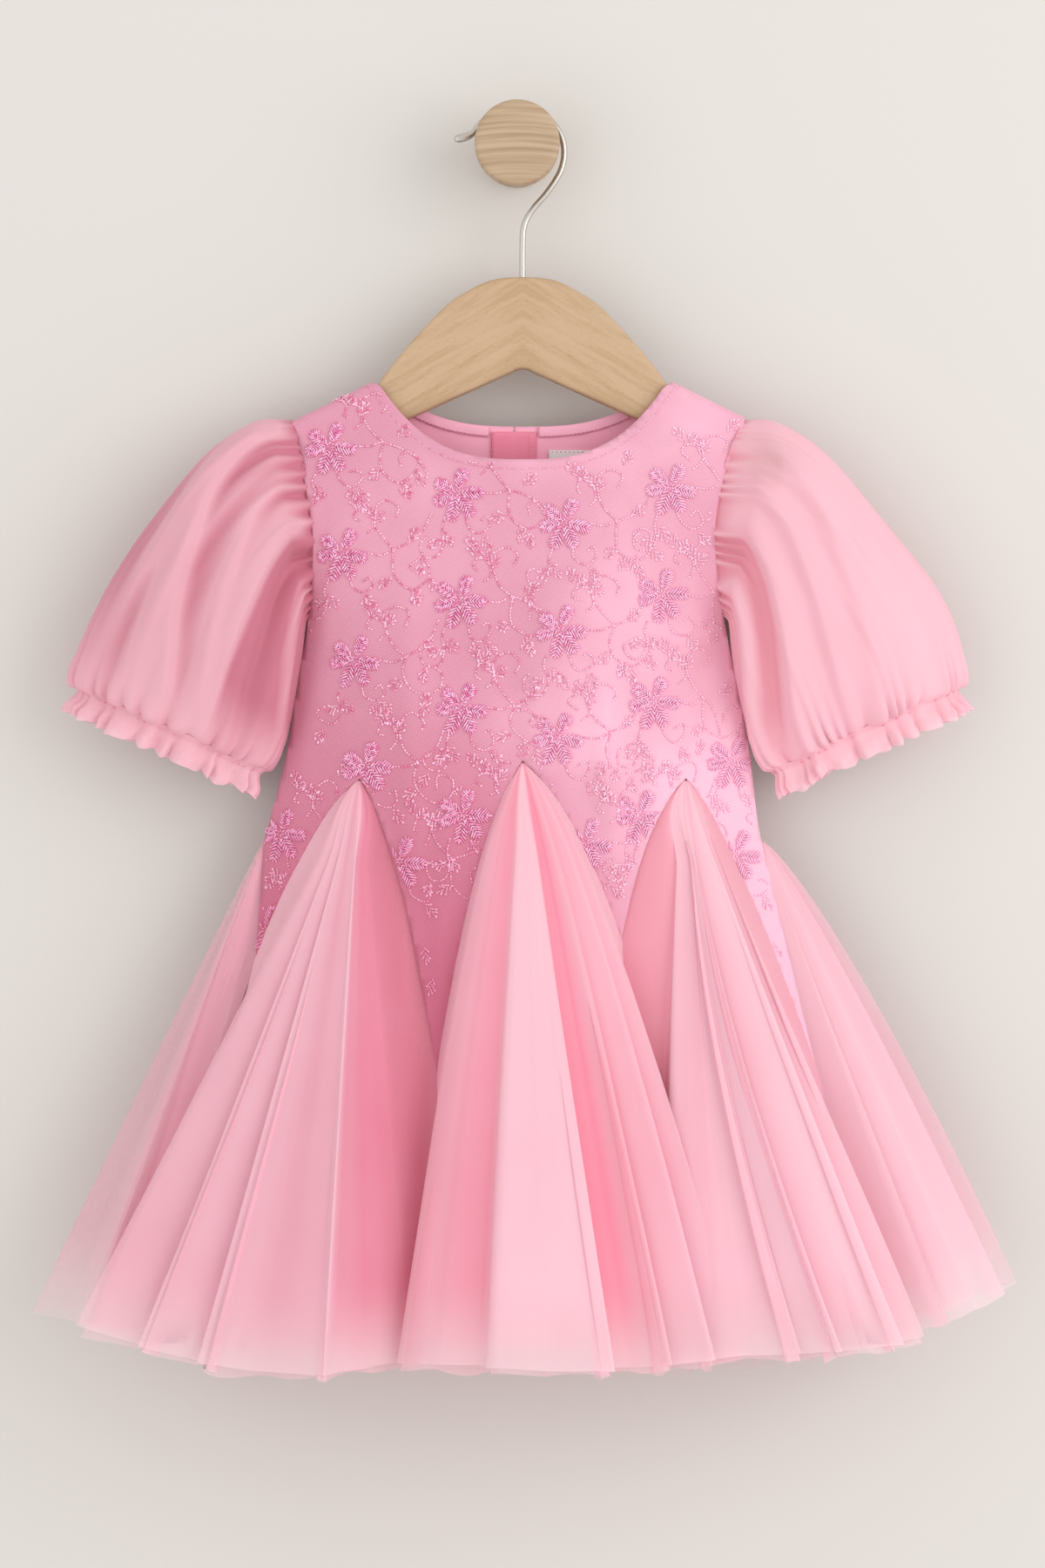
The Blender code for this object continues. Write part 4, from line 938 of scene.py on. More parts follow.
def panel(name, outline, face):
    # the cut piece is laid on the body's form, with its wrinkles and a turned neck edge
    work = cutSheet(outline, bodiceLook["cell"])
    layer = work.loops.layers.uv.new("cloth")
    for piece in work.faces:
        for loop in piece.loops:
            loop[layer].uv = (loop.vert.co.x * mm, loop.vert.co.z * mm)
    flat = [(vert.co.x, vert.co.z) for vert in work.verts]
    for vert, (x, length), near in zip(work.verts, flat, edgeDistance(flat, outline)):
        shift = panelShift(x, length, face, near)
        vert.co = world(*(bodyPoint(x, length, face) + bodyNormal(x, length, face) * shift))
    for piece in work.faces:
        piece.normal_update()
    outward = sum(piece.normal.y * face for piece in work.faces)
    if outward < 0:
        bmesh.ops.reverse_faces(work, faces=work.faces)
    piece = newPiece(name, work, finishes["net"], recalc=False)
    piece.data.materials.append(finishes["lining"].material)
    thicken(piece, bodiceLook["wall"]).material_offset = 1
    return piece


def frontOutline():
    left, centre, right = (fanNamed("godet_front_" + word) for word in ("left", "centre", "right"))
    sideLeft, sideRight = fanNamed("godet_side_left"), fanNamed("godet_side_right")
    outline = neckLine(-90, 90, neck["frontDrop"], 60)
    outline += shoulderLine(1)[1:]
    outline += sideLine(1, sideRight.apexZ)
    # down one side of each long point and up the other
    for down, up, number in ((sideRight, right, 3), (right, centre, 2), (centre, left, 1),
                             (left, sideLeft, 0)):
        outline += pointEdge(down, seams[number])[1:]
        outline += pointEdge(up, seams[number])[::-1][1:]
    outline += sideLine(-1, sideLeft.apexZ)[::-1][1:]
    outline += shoulderLine(-1)[::-1][:-1]
    return outline


def backOutline(side):
    word = sideName[side]
    half, sideFan = fanNamed("godet_back_" + word), fanNamed("godet_side_" + word)
    centre = fanNamed("godet_back_centre")
    middleSeam, sideSeam = (seams[6], seams[7]) if side < 0 else (seams[5], seams[4])
    opening = openingX + side * 0.25
    outline = neckLine(neckTurn(opening), side * 90, neck["backDrop"], 30)
    outline += shoulderLine(side)[1:]
    outline += sideLine(side, sideFan.apexZ)
    outline += pointEdge(sideFan, sideSeam)[1:]
    outline += pointEdge(half, sideSeam)[::-1][1:]
    outline += pointEdge(half, middleSeam)[1:]
    outline += [p for p in pointEdge(centre, middleSeam)[::-1][1:] if (p[0] - opening) * side > 1]
    outline += [(opening, z) for z in np.linspace(centre.apexZ, -152, 40)]
    return outline


def cutArea(outline):
    ring = np.array(outline + outline[:1])
    return abs(float((ring[:-1, 0] * ring[1:, 1] - ring[1:, 0] * ring[:-1, 1]).sum()) / 2) * mm * mm


def makePanels():
    outlines = {"front": frontOutline(), "left": backOutline(-1), "right": backOutline(1)}
    for word, name, node in (("front", "frontPanel", "front"), ("left", "leftBackPanel", "back_left"),
                             ("right", "rightBackPanel", "back_right")):
        outline = outlines[word]
        piece = panel(name, outline, front if word == "front" else back)
        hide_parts(node)
        # the cloth goes back a little round the sides, so the cut is wider than it looks
        cutArea(outline) * 1.1
    return outlines


outlines = makePanels()
print("bodice panels made")


# embroidery: every stitch is laid on the cloth

Stitch = namedtuple("Stitch", "x z turn long wide high lift")
Column = namedtuple("Column", "x z lean count")
flowerLook = {
    "pitch": 56.5, "rows": 7, "inner": 1.8, "halfWidth": 3.9, "slant": 0.84, "thread": 1.1,
    "height": 1.9, "lift": 0.5, "tip": (3.0, 1.3, 1.3, 0.4), "knots": 6, "knot": (2.2, 1.0, 1.1, 0.3),
    "knotAt": 1.5, "clear": 120,
}
# the way each petal points, in degrees, and how long it is
petals = [(146, 9.6), (68, 9.8), (-9, 10.6), (-61, 11.6), (-106, 12.4), (-163, 9.8)]
frontColumns = [Column(-102.0, -160.0, 6.5, 4), Column(-34.5, -185.4, 1.2, 4),
                Column(22.0, -201.0, -1.8, 3), Column(78.0, -182.0, -4.5, 3)]
singleFlowers = [(62.2, -355.0), (111.0, -326.5), (113.0, -375.8), (-128.0, -365.0), (-135.7, -416.0),
                 (-64.4, -379.5), (33.1, -369.4)]
# sprays in the narrow strips between the fans: place and way
straySprigs = [(119.0, -394.0, 5.0), (126.0, -409.0, 4.6), (131.0, -424.0, 5.3), (136.0, -440.0, 4.6),
               (142.0, -456.0, 5.2), (147.0, -470.0, 4.8), (-131.0, -386.0, 4.2), (-139.0, -398.0, 4.6),
               (-52.0, -424.0, 4.9), (-47.0, -440.0, 4.5), (54.0, -384.0, 4.4)]
backColumns = [Column(96.0, -180.0, -1.0, 4), Column(42.0, -206.0, 0.0, 4)]
vineLook = {"spacing": 1.7, "wide": 1.2, "high": 0.8, "lift": 0.3}


def columnPlaces(columns, mirror=1):
    # the middles of flowers that hang in columns, each a little aside of the one above
    pitch = flowerLook["pitch"]
    return [(mirror * (c.x + c.lean * i), c.z - pitch * i) for c in columns for i in range(c.count)]


def reached(x, z, way, reach):
    # the flat place a reach away from another
    return x + reach * cos(way), z + reach * sin(way)


def petalStitches(x, z, turn, petal, dice):
    # one petal: slanting satin stitches in pairs beside its midline, and one at its tip
    look = flowerLook
    stitches = []
    for row in range(look["rows"]):
        share = (row + 0.5) / look["rows"]
        reach = look["inner"] + petal * share
        half = look["halfWidth"] * sin(pi * (0.14 + 0.74 * share)) ** 0.7
        for side in (-1, 1):
            way = turn + side * look["slant"]
            long = half / sin(look["slant"]) * dice.uniform(0.92, 1.08)
            middle = long * 0.43
            place = reached(*reached(x, z, turn, reach), way, middle)
            stitches.append(Stitch(*place, way + dice.uniform(-0.1, 0.1), long * 1.12, look["thread"],
                                   look["height"], look["lift"]))
    tip = look["inner"] + petal + 0.6
    stitches.append(Stitch(*reached(x, z, turn, tip), turn, *look["tip"]))
    return stitches


def flowerStitches(x, z, dice):
    turn = dice.uniform(-0.12, 0.12)
    stitches = []
    for way, petal in petals:
        stitches += petalStitches(x, z, radians(way) + turn + dice.uniform(-0.06, 0.06), petal, dice)
    for knot in range(flowerLook["knots"]):
        way = turn + (knot + 0.5) * pi / 3
        stitches.append(Stitch(*reached(x, z, way, flowerLook["knotAt"]), way, *flowerLook["knot"]))
    return stitches


def chain(points, spacing=vineLook["spacing"], steps=12):
    # a line of chain stitches along a smooth curve
    line = curveThrough(points, steps)
    run = runLengths(line)
    at = np.arange(spacing / 2, run[-1], spacing)
    xs, zs = np.interp(at, run, line[:, 0]), np.interp(at, run, line[:, 1])
    slopes = np.gradient(line, axis=0)
    dx, dz = np.interp(at, run, slopes[:, 0]), np.interp(at, run, slopes[:, 1])
    return [Stitch(x, z, atan2(b, a), spacing * 1.12, vineLook["wide"], vineLook["high"], vineLook["lift"])
            for x, z, a, b in zip(xs, zs, dx, dz)]


# the threads of a spray: how far along its stem each leaves, to which side, and how long it is
sprigThreads = [(0.8, 1, 3.0), (2.0, -1, 3.8), (3.4, 1, 4.2), (4.6, -1, 3.4), (6.0, 1, 2.6), (7.0, 0, 2.4)]


def sprig(x, z, turn, dice, size=1.0):
    # a small spray: side stitches along a short stem, each with a knot at its end
    stitches = []
    for along, side, out in sprigThreads:
        way = turn + side * dice.uniform(0.5, 0.85)
        root = reached(x, z, turn, along * size)
        thread = (out * size * 0.5, 0.95, 0.8)
        for step, loose, sizes in ((0.25, 0.2, thread), (0.6, 0.2, thread), (1, 0.5, (2.1, 1.5, 1.05))):
            stitches.append(Stitch(*reached(*root, way, out * size * step),
                                   way + dice.uniform(-loose, loose), *sizes, vineLook["lift"]))
    return stitches


# the scrolls beside a flower, as places from its middle, and whether each starts where the stem forks
scrolls = [
    (1, [(26.5, -7), (29, -15), (37, -19.5), (44.5, -16), (46.5, -8.5), (42, -4), (37, -6.5), (37.5, -11)]),
    (1, [(22, 8), (17.5, 15.5), (18, 24), (24.5, 28), (30, 24), (28.5, 18)]),
    (0, [(-6.5, -13), (-8.5, -20), (-7, -27), (-11, -34), (-17.5, -33.5), (-19.5, -27.5), (-15.5, -24)]),
    (0, [(13, 9), (17, 13.5), (15.5, 20), (9.5, 22), (6.5, 17.5), (10, 15)]),
    (0, [(4, -12.5), (6, -19), (12, -22), (17, -18), (15, -13), (11, -15)]),
]
# the sprays beside a flower: place, way and size
sprays = [
    (16, 15, 0.9, 1.0), (8, 24, 2.0, 1.0), (13, -23, 5.4, 1.0), (38, -21, 4.9, 0.9), (31, 29, 1.2, 1.0),
    (-18, -35, 4.4, 0.9), (35, 3, 0.9, 1.0), (-8, -21, 5.4, 1.0), (-8, -25, 3.6, 0.9), (28, -12, 3.7, 1.0),
    (45, -13, 5.3, 1.0), (17.5, 18, 2.2, 1.0), (9, 21, 1.2, 0.9),
]


def vineStitches(x, z, places, dice, mirror):
    # from a flower to its neighbour, with scrolls and sprays in the open places
    def at(dx, dz):
        return (x + mirror * dx + dice.uniform(-1, 1), z + dz + dice.uniform(-1, 1))
    neighbours = [p for p in places if 40 < (p[0] - x) * mirror < 78 and abs(p[1] - z) < 36]
    neighbour = max(neighbours, key=lambda p: p[1] - z, default=(x + mirror * 62, z + 20))
    join = at(28, 1.5)
    dx, dz = (neighbour[0] - join[0]), (neighbour[1] - join[1])
    stitches = chain([(x + mirror * 13.5, z - 0.5), at(21, -1.2), join,
                      *[(join[0] + dx * out, join[1] + dz * up) for out, up in ((0.4, 0.25), (0.62, 0.66))]])
    for joined, spots in scrolls:
        stitches += chain([join] * joined + [at(*spot) for spot in spots])
    for dx, dz, way, size in sprays:
        place = at(dx, dz)
        way = way if mirror > 0 else pi - way
        stitches += sprig(place[0], place[1], way + dice.uniform(-0.3, 0.3), dice, size)
    return stitches


def beads(name, spots, finish, segments=0):
    # one small rounded thread at each spot: its middle, its three ways, and its three sizes
    bead = bmesh.new()
    if segments:
        bmesh.ops.create_uvsphere(bead, u_segments=segments, v_segments=4, radius=0.5)
        bmesh.ops.rotate(bead, verts=bead.verts, matrix=Matrix.Rotation(pi / 2, 3, "Y"))
    else:
        bmesh.ops.create_icosphere(bead, subdivisions=1, radius=0.5)
    mesh = meshOf("bead", bead)
    work = bmesh.new()
    for middle, ways, sizes in spots:
        scaled = np.stack([way * size for way, size in zip(ways, sizes)], 1) * mm
        place = Matrix.Translation(world(*middle)) @ Matrix(scaled.tolist()).to_4x4()
        mesh.transform(place)
        work.from_mesh(mesh)
        mesh.transform(place.inverted())
    bpy.data.meshes.remove(mesh)
    return newPiece(name, work, finish, recalc=False)


# the finish of each kind of stitch, the facets round its thread, and how near the cut edge it may lie
stitchKinds = {"Flowers": ("thread", 6, 1.0), "Vines": ("vine", 0, 2.4)}


def sewOn(panelName, kind, stitches, outline, face):
    # stitches outside the cut piece are left out; each of the rest is laid along the cloth
    finish, segments, margin = stitchKinds[kind]
    near = edgeDistance([(s.x, s.z) for s in stitches], outline)
    spots = []
    for stitch, distance in zip(stitches, near):
        if distance < margin or not inside((stitch.x, stitch.z), outline):
            continue
        x, z = stitch.x, stitch.z
        normal = bodyNormal(x, z, face)
        dx, dz = cos(stitch.turn) * 0.6, sin(stitch.turn) * 0.6
        along = bodyPoint(x + dx, z + dz, face) - bodyPoint(x - dx, z - dz, face)
        along /= np.linalg.norm(along)
        side = np.cross(normal, along)
        middle = bodyPoint(x, z, face) + normal * (panelShift(x, z, face, distance) + stitch.lift)
        spots.append((middle, (along, side, normal), (stitch.long, stitch.wide, stitch.high)))
    beads(panelName + kind, spots, finishes[finish], segments)


neckRow = {"below": 5.0, "pitch": 2.3, "long": 1.6, "wide": 0.6, "high": 0.6}


def neckStitches(start, end, drop, way):
    # the row of topstitching that holds the turned neck edge
    line = np.array(neckLine(start, end, drop, 90))
    moved = line + sideways(line) * way * neckRow["below"]
    sizes = {key: neckRow[key] for key in ("long", "wide", "high")}
    return [s._replace(**sizes) for s in chain(moved, neckRow["pitch"], 1)]


def flowersAndVines(places, dice, mirror=1):
    # a flower at each place and the vines between them, which stay clear of every flower
    flowers, vines = [], []
    for x, z in places:
        flowers += flowerStitches(x, z, dice)
        vines += vineStitches(x, z, places, dice, mirror)
    clear = flowerLook["clear"]
    return flowers, [s for s in vines if all((s.x - x) ** 2 + (s.z - z) ** 2 > clear for x, z in places)]


def makeEmbroidery():
    dice = random.Random(11)
    flowers, vines = flowersAndVines(columnPlaces(frontColumns) + singleFlowers, dice)
    for x, z, way in straySprigs:
        vines += sprig(x, z, way, dice)
    vines += neckStitches(-84, 84, neck["frontDrop"], 1)
    sewOn("front", "Flowers", flowers, outlines["front"], front)
    sewOn("front", "Vines", vines, outlines["front"], front)
    for side, word in sideName.items():
        places = [(x + (openingX if side < 0 else 0), z) for x, z in columnPlaces(backColumns, side)]
        flowers, vines = flowersAndVines(places, dice, -side)
        vines = [s for s in vines if abs(s.x - openingX) > 9.5]
        vines += neckStitches(neckTurn(openingX + side * 10), side * 84, neck["backDrop"], side)
        sewOn(word + "Back", "Flowers", flowers, outlines[word], back)
        sewOn(word + "Back", "Vines", vines, outlines[word], back)


makeEmbroidery()
print("embroidery sewn")


# neck facing, placket, label and buttons

bandLook = {
    "facing": {"start": 13.2, "end": 56.0, "edges": (0.2, 5.6), "inner": -1.75},
    "outer": {"top": -153.5, "bottom": -312.0, "half": 9.0, "away": 0.95},
    "inner": {"top": -150.8, "bottom": -310.0, "half": 12.0, "away": -1.75},
    "label": {"left": 14.0, "right": 45.0, "top": -160.5, "bottom": -182.0, "away": -1.9, "seam": 1.0},
    "buttons": {
        "count": 5, "top": -162.0, "pitch": 36.0, "away": 1.9, "steps": 40,
        # from the middle of the back to the rim and in to the dished front
        "profile": [(0.0, 0.0), (4.0, 0.0), (4.4, 0.5), (4.5, 1.2), (4.35, 1.9), (3.8, 2.3),
                    (3.2, 2.15), (2.7, 1.6), (0.0, 1.5)],
        "thread": (3.2, 0.7, 0.5), "threadY": 1.6,
    },
    # the placket's soft waves, its lap over the other band and the crease along its edge
    "wave": 0.2, "lap": 0.35, "crease": 0.9, "creaseAt": 9.6, "creaseWide": 0.9,
    "stitch": (1.5, 0.5, 0.45), "pitch": 2.3, "lift": 0.55,
}


def backSpot(x, length, away):
    return bodyPoint(x, length, back) + bodyNormal(x, length, back) * away


def stitchRow(spots, lift):
    # stitches along a line on the back's cloth, given as flat places and their distance from it
    line = np.array([backSpot(x, length, away + lift) for x, length, away in spots])
    run = runLengths(line)
    made = []
    for at in np.arange(1.0, run[-1] - 0.5, bandLook["pitch"]):
        place, ahead = (np.array([np.interp(at + d, run, line[:, k]) for k in range(3)]) for d in (0, 0.4))
        along = (ahead - place) / np.linalg.norm(ahead - place)
        x, length = spots[min(int(np.searchsorted(run, at)), len(spots) - 1)][:2]
        side = np.cross(bodyNormal(x, length, back), along)
        side /= np.linalg.norm(side)
        made.append((place, (along, side, np.cross(along, side)), bandLook["stitch"]))
    return made


def finishStrip(name, columns, rows, place, wall, finish, node):
    piece = clothGrid(name, columns, rows, place, finish)
    thicken(piece, wall, 0.0)
    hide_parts(node)


def facingSpot(side, share, across):
    # a place of the facing: its share of the way round the neck, and of the way down
    look = bandLook["facing"]
    start = neckTurn(openingX + side * look["start"])
    turn = start + (side * look["end"] - start) * share
    x = neckX(turn)
    slope = (neckLength(x + 0.2, neck["backDrop"]) - neckLength(x - 0.2, neck["backDrop"])) / 0.4
    low, high = look["edges"]
    reach = (low + (high - low) * across) / sqrt(1 + slope * slope)
    away = look["inner"] - 0.3 * sin(pi * across) + 0.25 * ripple(turn * 0.22, across * 1.2, side)
    return x + slope * reach, neckLength(x, neck["backDrop"]) - reach, away


def placketSpot(look, u, v, fold):
    x = openingX + look["half"] * (2 * u - 1)
    length = look["top"] + (look["bottom"] - look["top"]) * v
    away = look["away"] + bandLook["wave"] * ripple(u * 3.0, v * 16.0, fold)
    away += fold * (bandLook["lap"] * smoothStep((x - openingX + 0.8) / 1.6) - 0.2)
    past = (x - openingX - bandLook["creaseAt"]) / bandLook["creaseWide"]
    away -= fold * bandLook["crease"] * exp(-past ** 2)
    return x, length, away


def labelSpot(look, u, v):
    # a point of the label, which hangs free of the back below its top edge
    x = look["left"] + (look["right"] - look["left"]) * u
    away = look["away"] - 0.5 * sin(pi * u) * v - 0.15 * sin(2 * pi * v)
    return x, look["top"] + (look["bottom"] - look["top"]) * v, away


def makeBands():
    threads = []
    lift = bandLook["lift"]
    for side, word in sideName.items():
        finishStrip(word + "Facing", 60, 6, lambda u, v: backSpot(*facingSpot(side, u, v)), 0.7,
                    finishes["cotton"], "neck_facing_" + word)
        threads += stitchRow([facingSpot(side, i / 40, 0.9) for i in range(41)], -lift)
    for word, turned, slot, finish in (("outer", 0, "embroidered_net", "net"),
                                       ("inner", 1, "facing", "placket")):
        look = bandLook[word]
        finishStrip(word + "Placket", 24, 70, lambda u, v: backSpot(*placketSpot(look, u, v, turned)), 0.8,
                    finishes[finish], "placket_" + word)
        for u in (0.05, 0.93):
            threads += stitchRow([placketSpot(look, u, i / 60, turned) for i in range(61)],
                                 -lift if turned else lift)
    look = bandLook["label"]
    finishStrip("neckLabel", 16, 12, lambda u, v: backSpot(*labelSpot(look, u, v)), 0.45, finishes["label"],
                "label")
    start, end = look["left"] + look["seam"], look["right"] - look["seam"]
    seam = [(start + (end - start) * i / 20, look["top"] - 0.9, look["away"]) for i in range(21)]
    threads += stitchRow(seam, -0.4)
    beads("bandThreads", threads, finishes["stitch"])


def makeButtons():
    look = bandLook["buttons"]
    threads = []
    for number in range(look["count"]):
        z = look["top"] - look["pitch"] * number
        y = bodyPoint(openingX, z, back)[1] + look["away"]
        work = lathed(look["profile"], world(openingX, y, z), look["steps"])
        piece = newPiece("button%d" % (number + 1), work, finishes["button"])
        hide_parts("button_%d" % (number + 1))
        for turn in (pi / 4, 3 * pi / 4):
            ways = ((cos(turn), 0, sin(turn)), (0, 1.0, 0), (-sin(turn), 0, cos(turn)))
            threads.append(((openingX, y + look["threadY"], z), np.array(ways), look["thread"]))
    beads("buttonThreads", threads, finishes["thread"], 6)


makeBands()
makeButtons()
print("neck bands, label and buttons made")


# skirt fans and underskirt

# the layers of each fan: how far in it lies, how far its cloth laps over the bodice, how its folds
# are shuffled, how far its hem falls, and how much narrower it is at the sides
Layer = namedtuple("Layer", "name shift lap shuffle hem narrow finish")
fanLayers = [
    Layer("fan", 0.0, 4.0, 0.0, 0.0, 0.0, "tulle"),
    Layer("fanUnder", 3.2, 1.0, 7.0, 5.5, 0.12, "tulleInner"),
]


def evened(row, reach):
    # a row of points with its folds smoothed away
    padded = np.pad(row, ((reach, reach), (0, 0)), "edge")
    weights = np.ones(2 * reach + 1) / (2 * reach + 1)
    return np.stack([np.convolve(padded[:, k], weights, "valid") for k in range(3)], 1)


def fanSurface(fan, layer):
    # rows of points from the fan's point to its hem, with the colour depth (partly cloth lying double,
    # partly painted shade) and clearness of each
    rows, looks = [], []
    seed = fans.index(fan) * 3.7 + layer.shift
    steps = fanLook["steps"]
    for i in range(fanLook["rows"] + 1):
        share = 0.004 + 0.996 * (i / fanLook["rows"]) ** 1.05
        row = foldLine(fanSection(fan, share, layer.lap))
        if layer.shuffle and "side" in fan.name:
            row = evened(row, 2 * steps)
            apex = np.array([fan.apexX, bodyRow(fan.apexZ)["mid"]])
            row[:, :2] -= (row[:, :2] - apex) * layer.narrow * share
        out = sideways(row)
        count = len(row)
        for j in range(count):
            u = j / (count - 1)
            hold = min(min(u, 1 - u) * 9, 1)
            fine = ripple(u * 31 + seed, seed, share * 0.5)
            fine += 0.6 * ripple(u * 70 + seed, seed * 2, share * 0.4)
            push = fanLook["crease"] * fine * min(share * 2.5, 1)
            push += fanLook["flutter"] * ripple(u * 9 + seed, share * 2.5, seed) * share ** 2
            if layer.shuffle and "side" not in fan.name:
                push += layer.shuffle * share * ripple(u * 16 + seed, seed, share * 0.6)
                push -= layer.shift * smoothStep(share * 2)
            row[j, :2] += out[j] * push * hold
            fall = layer.hem * (0.6 + 0.8 * ripple(u * 14 + seed, 5.0))
            row[j, 2] -= (fall + fanLook["ragged"] * ripple(u * 20, seed)) * share ** 6
        rows.append(row)
        at = np.arange(count) / steps
        knots = np.arange(len(fan.folds) + 2)
        ends = fan.folds[0].deep, fan.folds[-1].deep
        looks.append(np.stack([np.interp(at, knots, [ends[0], *values, ends[1]])
                               for values in zip(*[(fold.deep, fold.clear) for fold in fan.folds])], 1))
    return np.array(rows), np.array(looks)


def rowsToPiece(name, rows, finish, closed=False, looks=None):
    # a sheet of cloth through rows of points; its UV counts metres from the hem
    count, width = rows.shape[:2]
    if closed:
        width += 1
        rows = np.concatenate([rows, rows[:, :1]], axis=1)
        if looks is not None:
            looks = np.concatenate([looks, looks[:, :1]], axis=1)
    work = bmesh.new()
    bmesh.ops.create_grid(work, x_segments=width - 1, y_segments=count - 1, size=0.5)
    uv = work.loops.layers.uv.new("cloth")
    # the colour depth, which carries painted shade, and the clearness of each point
    deep, clear = (work.verts.layers.float.new(word) for word in ("deep", "clear"))
    hemLength = np.linalg.norm(np.diff(rows[-1], axis=0), axis=1).sum() * mm
    fall = np.linalg.norm(np.diff(rows.mean(1), axis=0), axis=1).sum() * mm
    spots = []
    for vert in work.verts:
        j = round((vert.co.x + 0.5) * (width - 1))
        i = round((0.5 - vert.co.y) * (count - 1))
        spots.append((j / (width - 1) * hemLength, (1 - i / (count - 1)) * fall))
        vert.co = world(*rows[i, j])
        if looks is not None:
            vert[deep], vert[clear] = looks[i, j]
    work.verts.index_update()
    for face in work.faces:
        for loop in face.loops:
            loop[uv].uv = spots[loop.vert.index]
    if closed:
        bmesh.ops.remove_doubles(work, verts=work.verts, dist=1e-6)
    return newPiece(name, work, finish)


def makeFans():
    for fan in fans:
        word = "".join(part.capitalize() for part in fan.name.split("_")[1:])
        for layer in fanLayers:
            rows, looks = fanSurface(fan, layer)
            piece = rowsToPiece(layer.name + word, rows, finishes[layer.finish], looks=looks)
            if layer.name == "fan":
                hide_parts(fan.name)


makeFans()
print("fans made")


underskirtLook = {
    "columns": 420, "rows": 30, "topZ": -320.0, "fall": 326.0, "waves": 34, "wave": 3.4, "wander": 1.6,
    "crumple": 0.6, "spread": 60.0,
    # at the top, and how much more or less at the hem
    "inset": (2.2, 6.0), "reach": (0.92, 0.13),
    "ragged": 1.5, "rise": 13.0,  # the hem's small waves, and its rise at the sides
}


def makeUnderskirt():
    look = underskirtLook
    columns = look["columns"]
    rows = []
    for i in range(look["rows"] + 1):
        share = i / look["rows"]
        z = look["topZ"] - look["fall"] * share
        inset = look["inset"][0] + look["inset"][1] * share
        reach = look["reach"][0] - look["reach"][1] * share
        wave = look["wave"] * share ** 1.2
        row = bodyRow(z)
        ring = []
        for j in range(columns):
            angle = 2 * pi * j / columns
            cosA, sinA = cos(angle), sin(angle)
            u = -reach * cosA
            face = front if sinA > 0 else back
            full = row["front" if face == front else "back"]
            depth = row["side"] + (full - row["side"]) * (1 - abs(u) ** 3) - inset
            depth *= sqrt(max(1 - cosA ** 6, 0.0))
            swing = cos(look["waves"] * angle + look["wander"] * ripple(cosA * 3, sinA * 3, 1.0))
            swing += look["crumple"] * ripple(cosA * 20, sinA * 20, share)
            x = (row["left"] + row["right"]) / 2 + u * (row["right"] - row["left"]) / 2
            y = row["mid"] + face * (depth + wave * swing - wave)
            drop = look["ragged"] * share ** 6 * ripple(cosA * 9, sinA * 9, 4.0)
            drop += look["rise"] * share ** 4 * abs(cosA) ** 3
            ring.append([x * (1 + wave * swing / look["spread"]), y, z + drop])
        rows.append(ring)
    rows = np.array(rows)
    piece = rowsToPiece("underskirt", rows, finishes["underskirt"], closed=True)
    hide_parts("underskirt")


makeUnderskirt()
print("underskirt made")


# sleeves and cuff frills

Ring = namedtuple("Ring", "along outX outZ inX inZ front back")
sleeveRings = [Ring(*row) for row in (
    (0.00, -123.3, -145.6, -114.0, -247.0, 14.0, 14.0),
    (0.14, -138.0, -146.0, -115.0, -256.0, 24.0, 17.0),
    (0.30, -162.0, -159.5, -116.5, -270.0, 31.0, 20.0),
    (0.50, -190.0, -190.0, -119.5, -289.0, 35.0, 22.0),
    (0.70, -218.0, -230.0, -123.0, -306.0, 34.0, 22.0),
    (0.86, -235.5, -266.0, -126.5, -319.0, 29.0, 19.0),
    (0.95, -240.0, -281.0, -131.5, -328.0, 23.0, 15.0),
    (1.00, -236.0, -289.0, -139.0, -333.0, 18.0, 12.0),
)]
sleeveLook = {
    "midY": -33.0, "rightShift": -5.5, "rightBulge": 6.0, "columns": 300, "rows": 90,
    # how high the long folds, the gathers at both ends, the billows and the crumples stand
    "fold": 1.35, "headGathers": 34, "headHigh": 2.4, "cuffGathers": 26, "cuffHigh": 4.6,
    "billow": 1.6, "crumple": 0.7, "overhang": 3.2,
    # the colour's depth, painted shade: its start, by height (less on raised folds, more in their valleys),
    # in the inner half, in the gathers at the armhole, between cuff lobes
    "deep": 0.36, "byHeight": 0.17, "inner": 0.42, "atHead": 0.3, "atCuff": 0.35,
    "seamStitches": 84, "seamOut": 0.9, "seamThread": (1.7, 0.6, 0.6),
}
frillLook = {
    # deep: the frill's painted shade, deeper on the left cuff, away from the light
    "waves": 27, "perWave": 14, "rows": 12, "start": -2.5, "length": 15.0, "deep": {-1: 1.15, 1: 0.8},
}
# the way along a cuff from its outer to its inner end, and down from it
cuffRun = np.array([sleeveRings[-1].inX - sleeveRings[-1].outX, sleeveRings[-1].inZ - sleeveRings[-1].outZ])
cuffRun /= np.linalg.norm(cuffRun)
cuffDown = np.array([cuffRun[1], -cuffRun[0]])
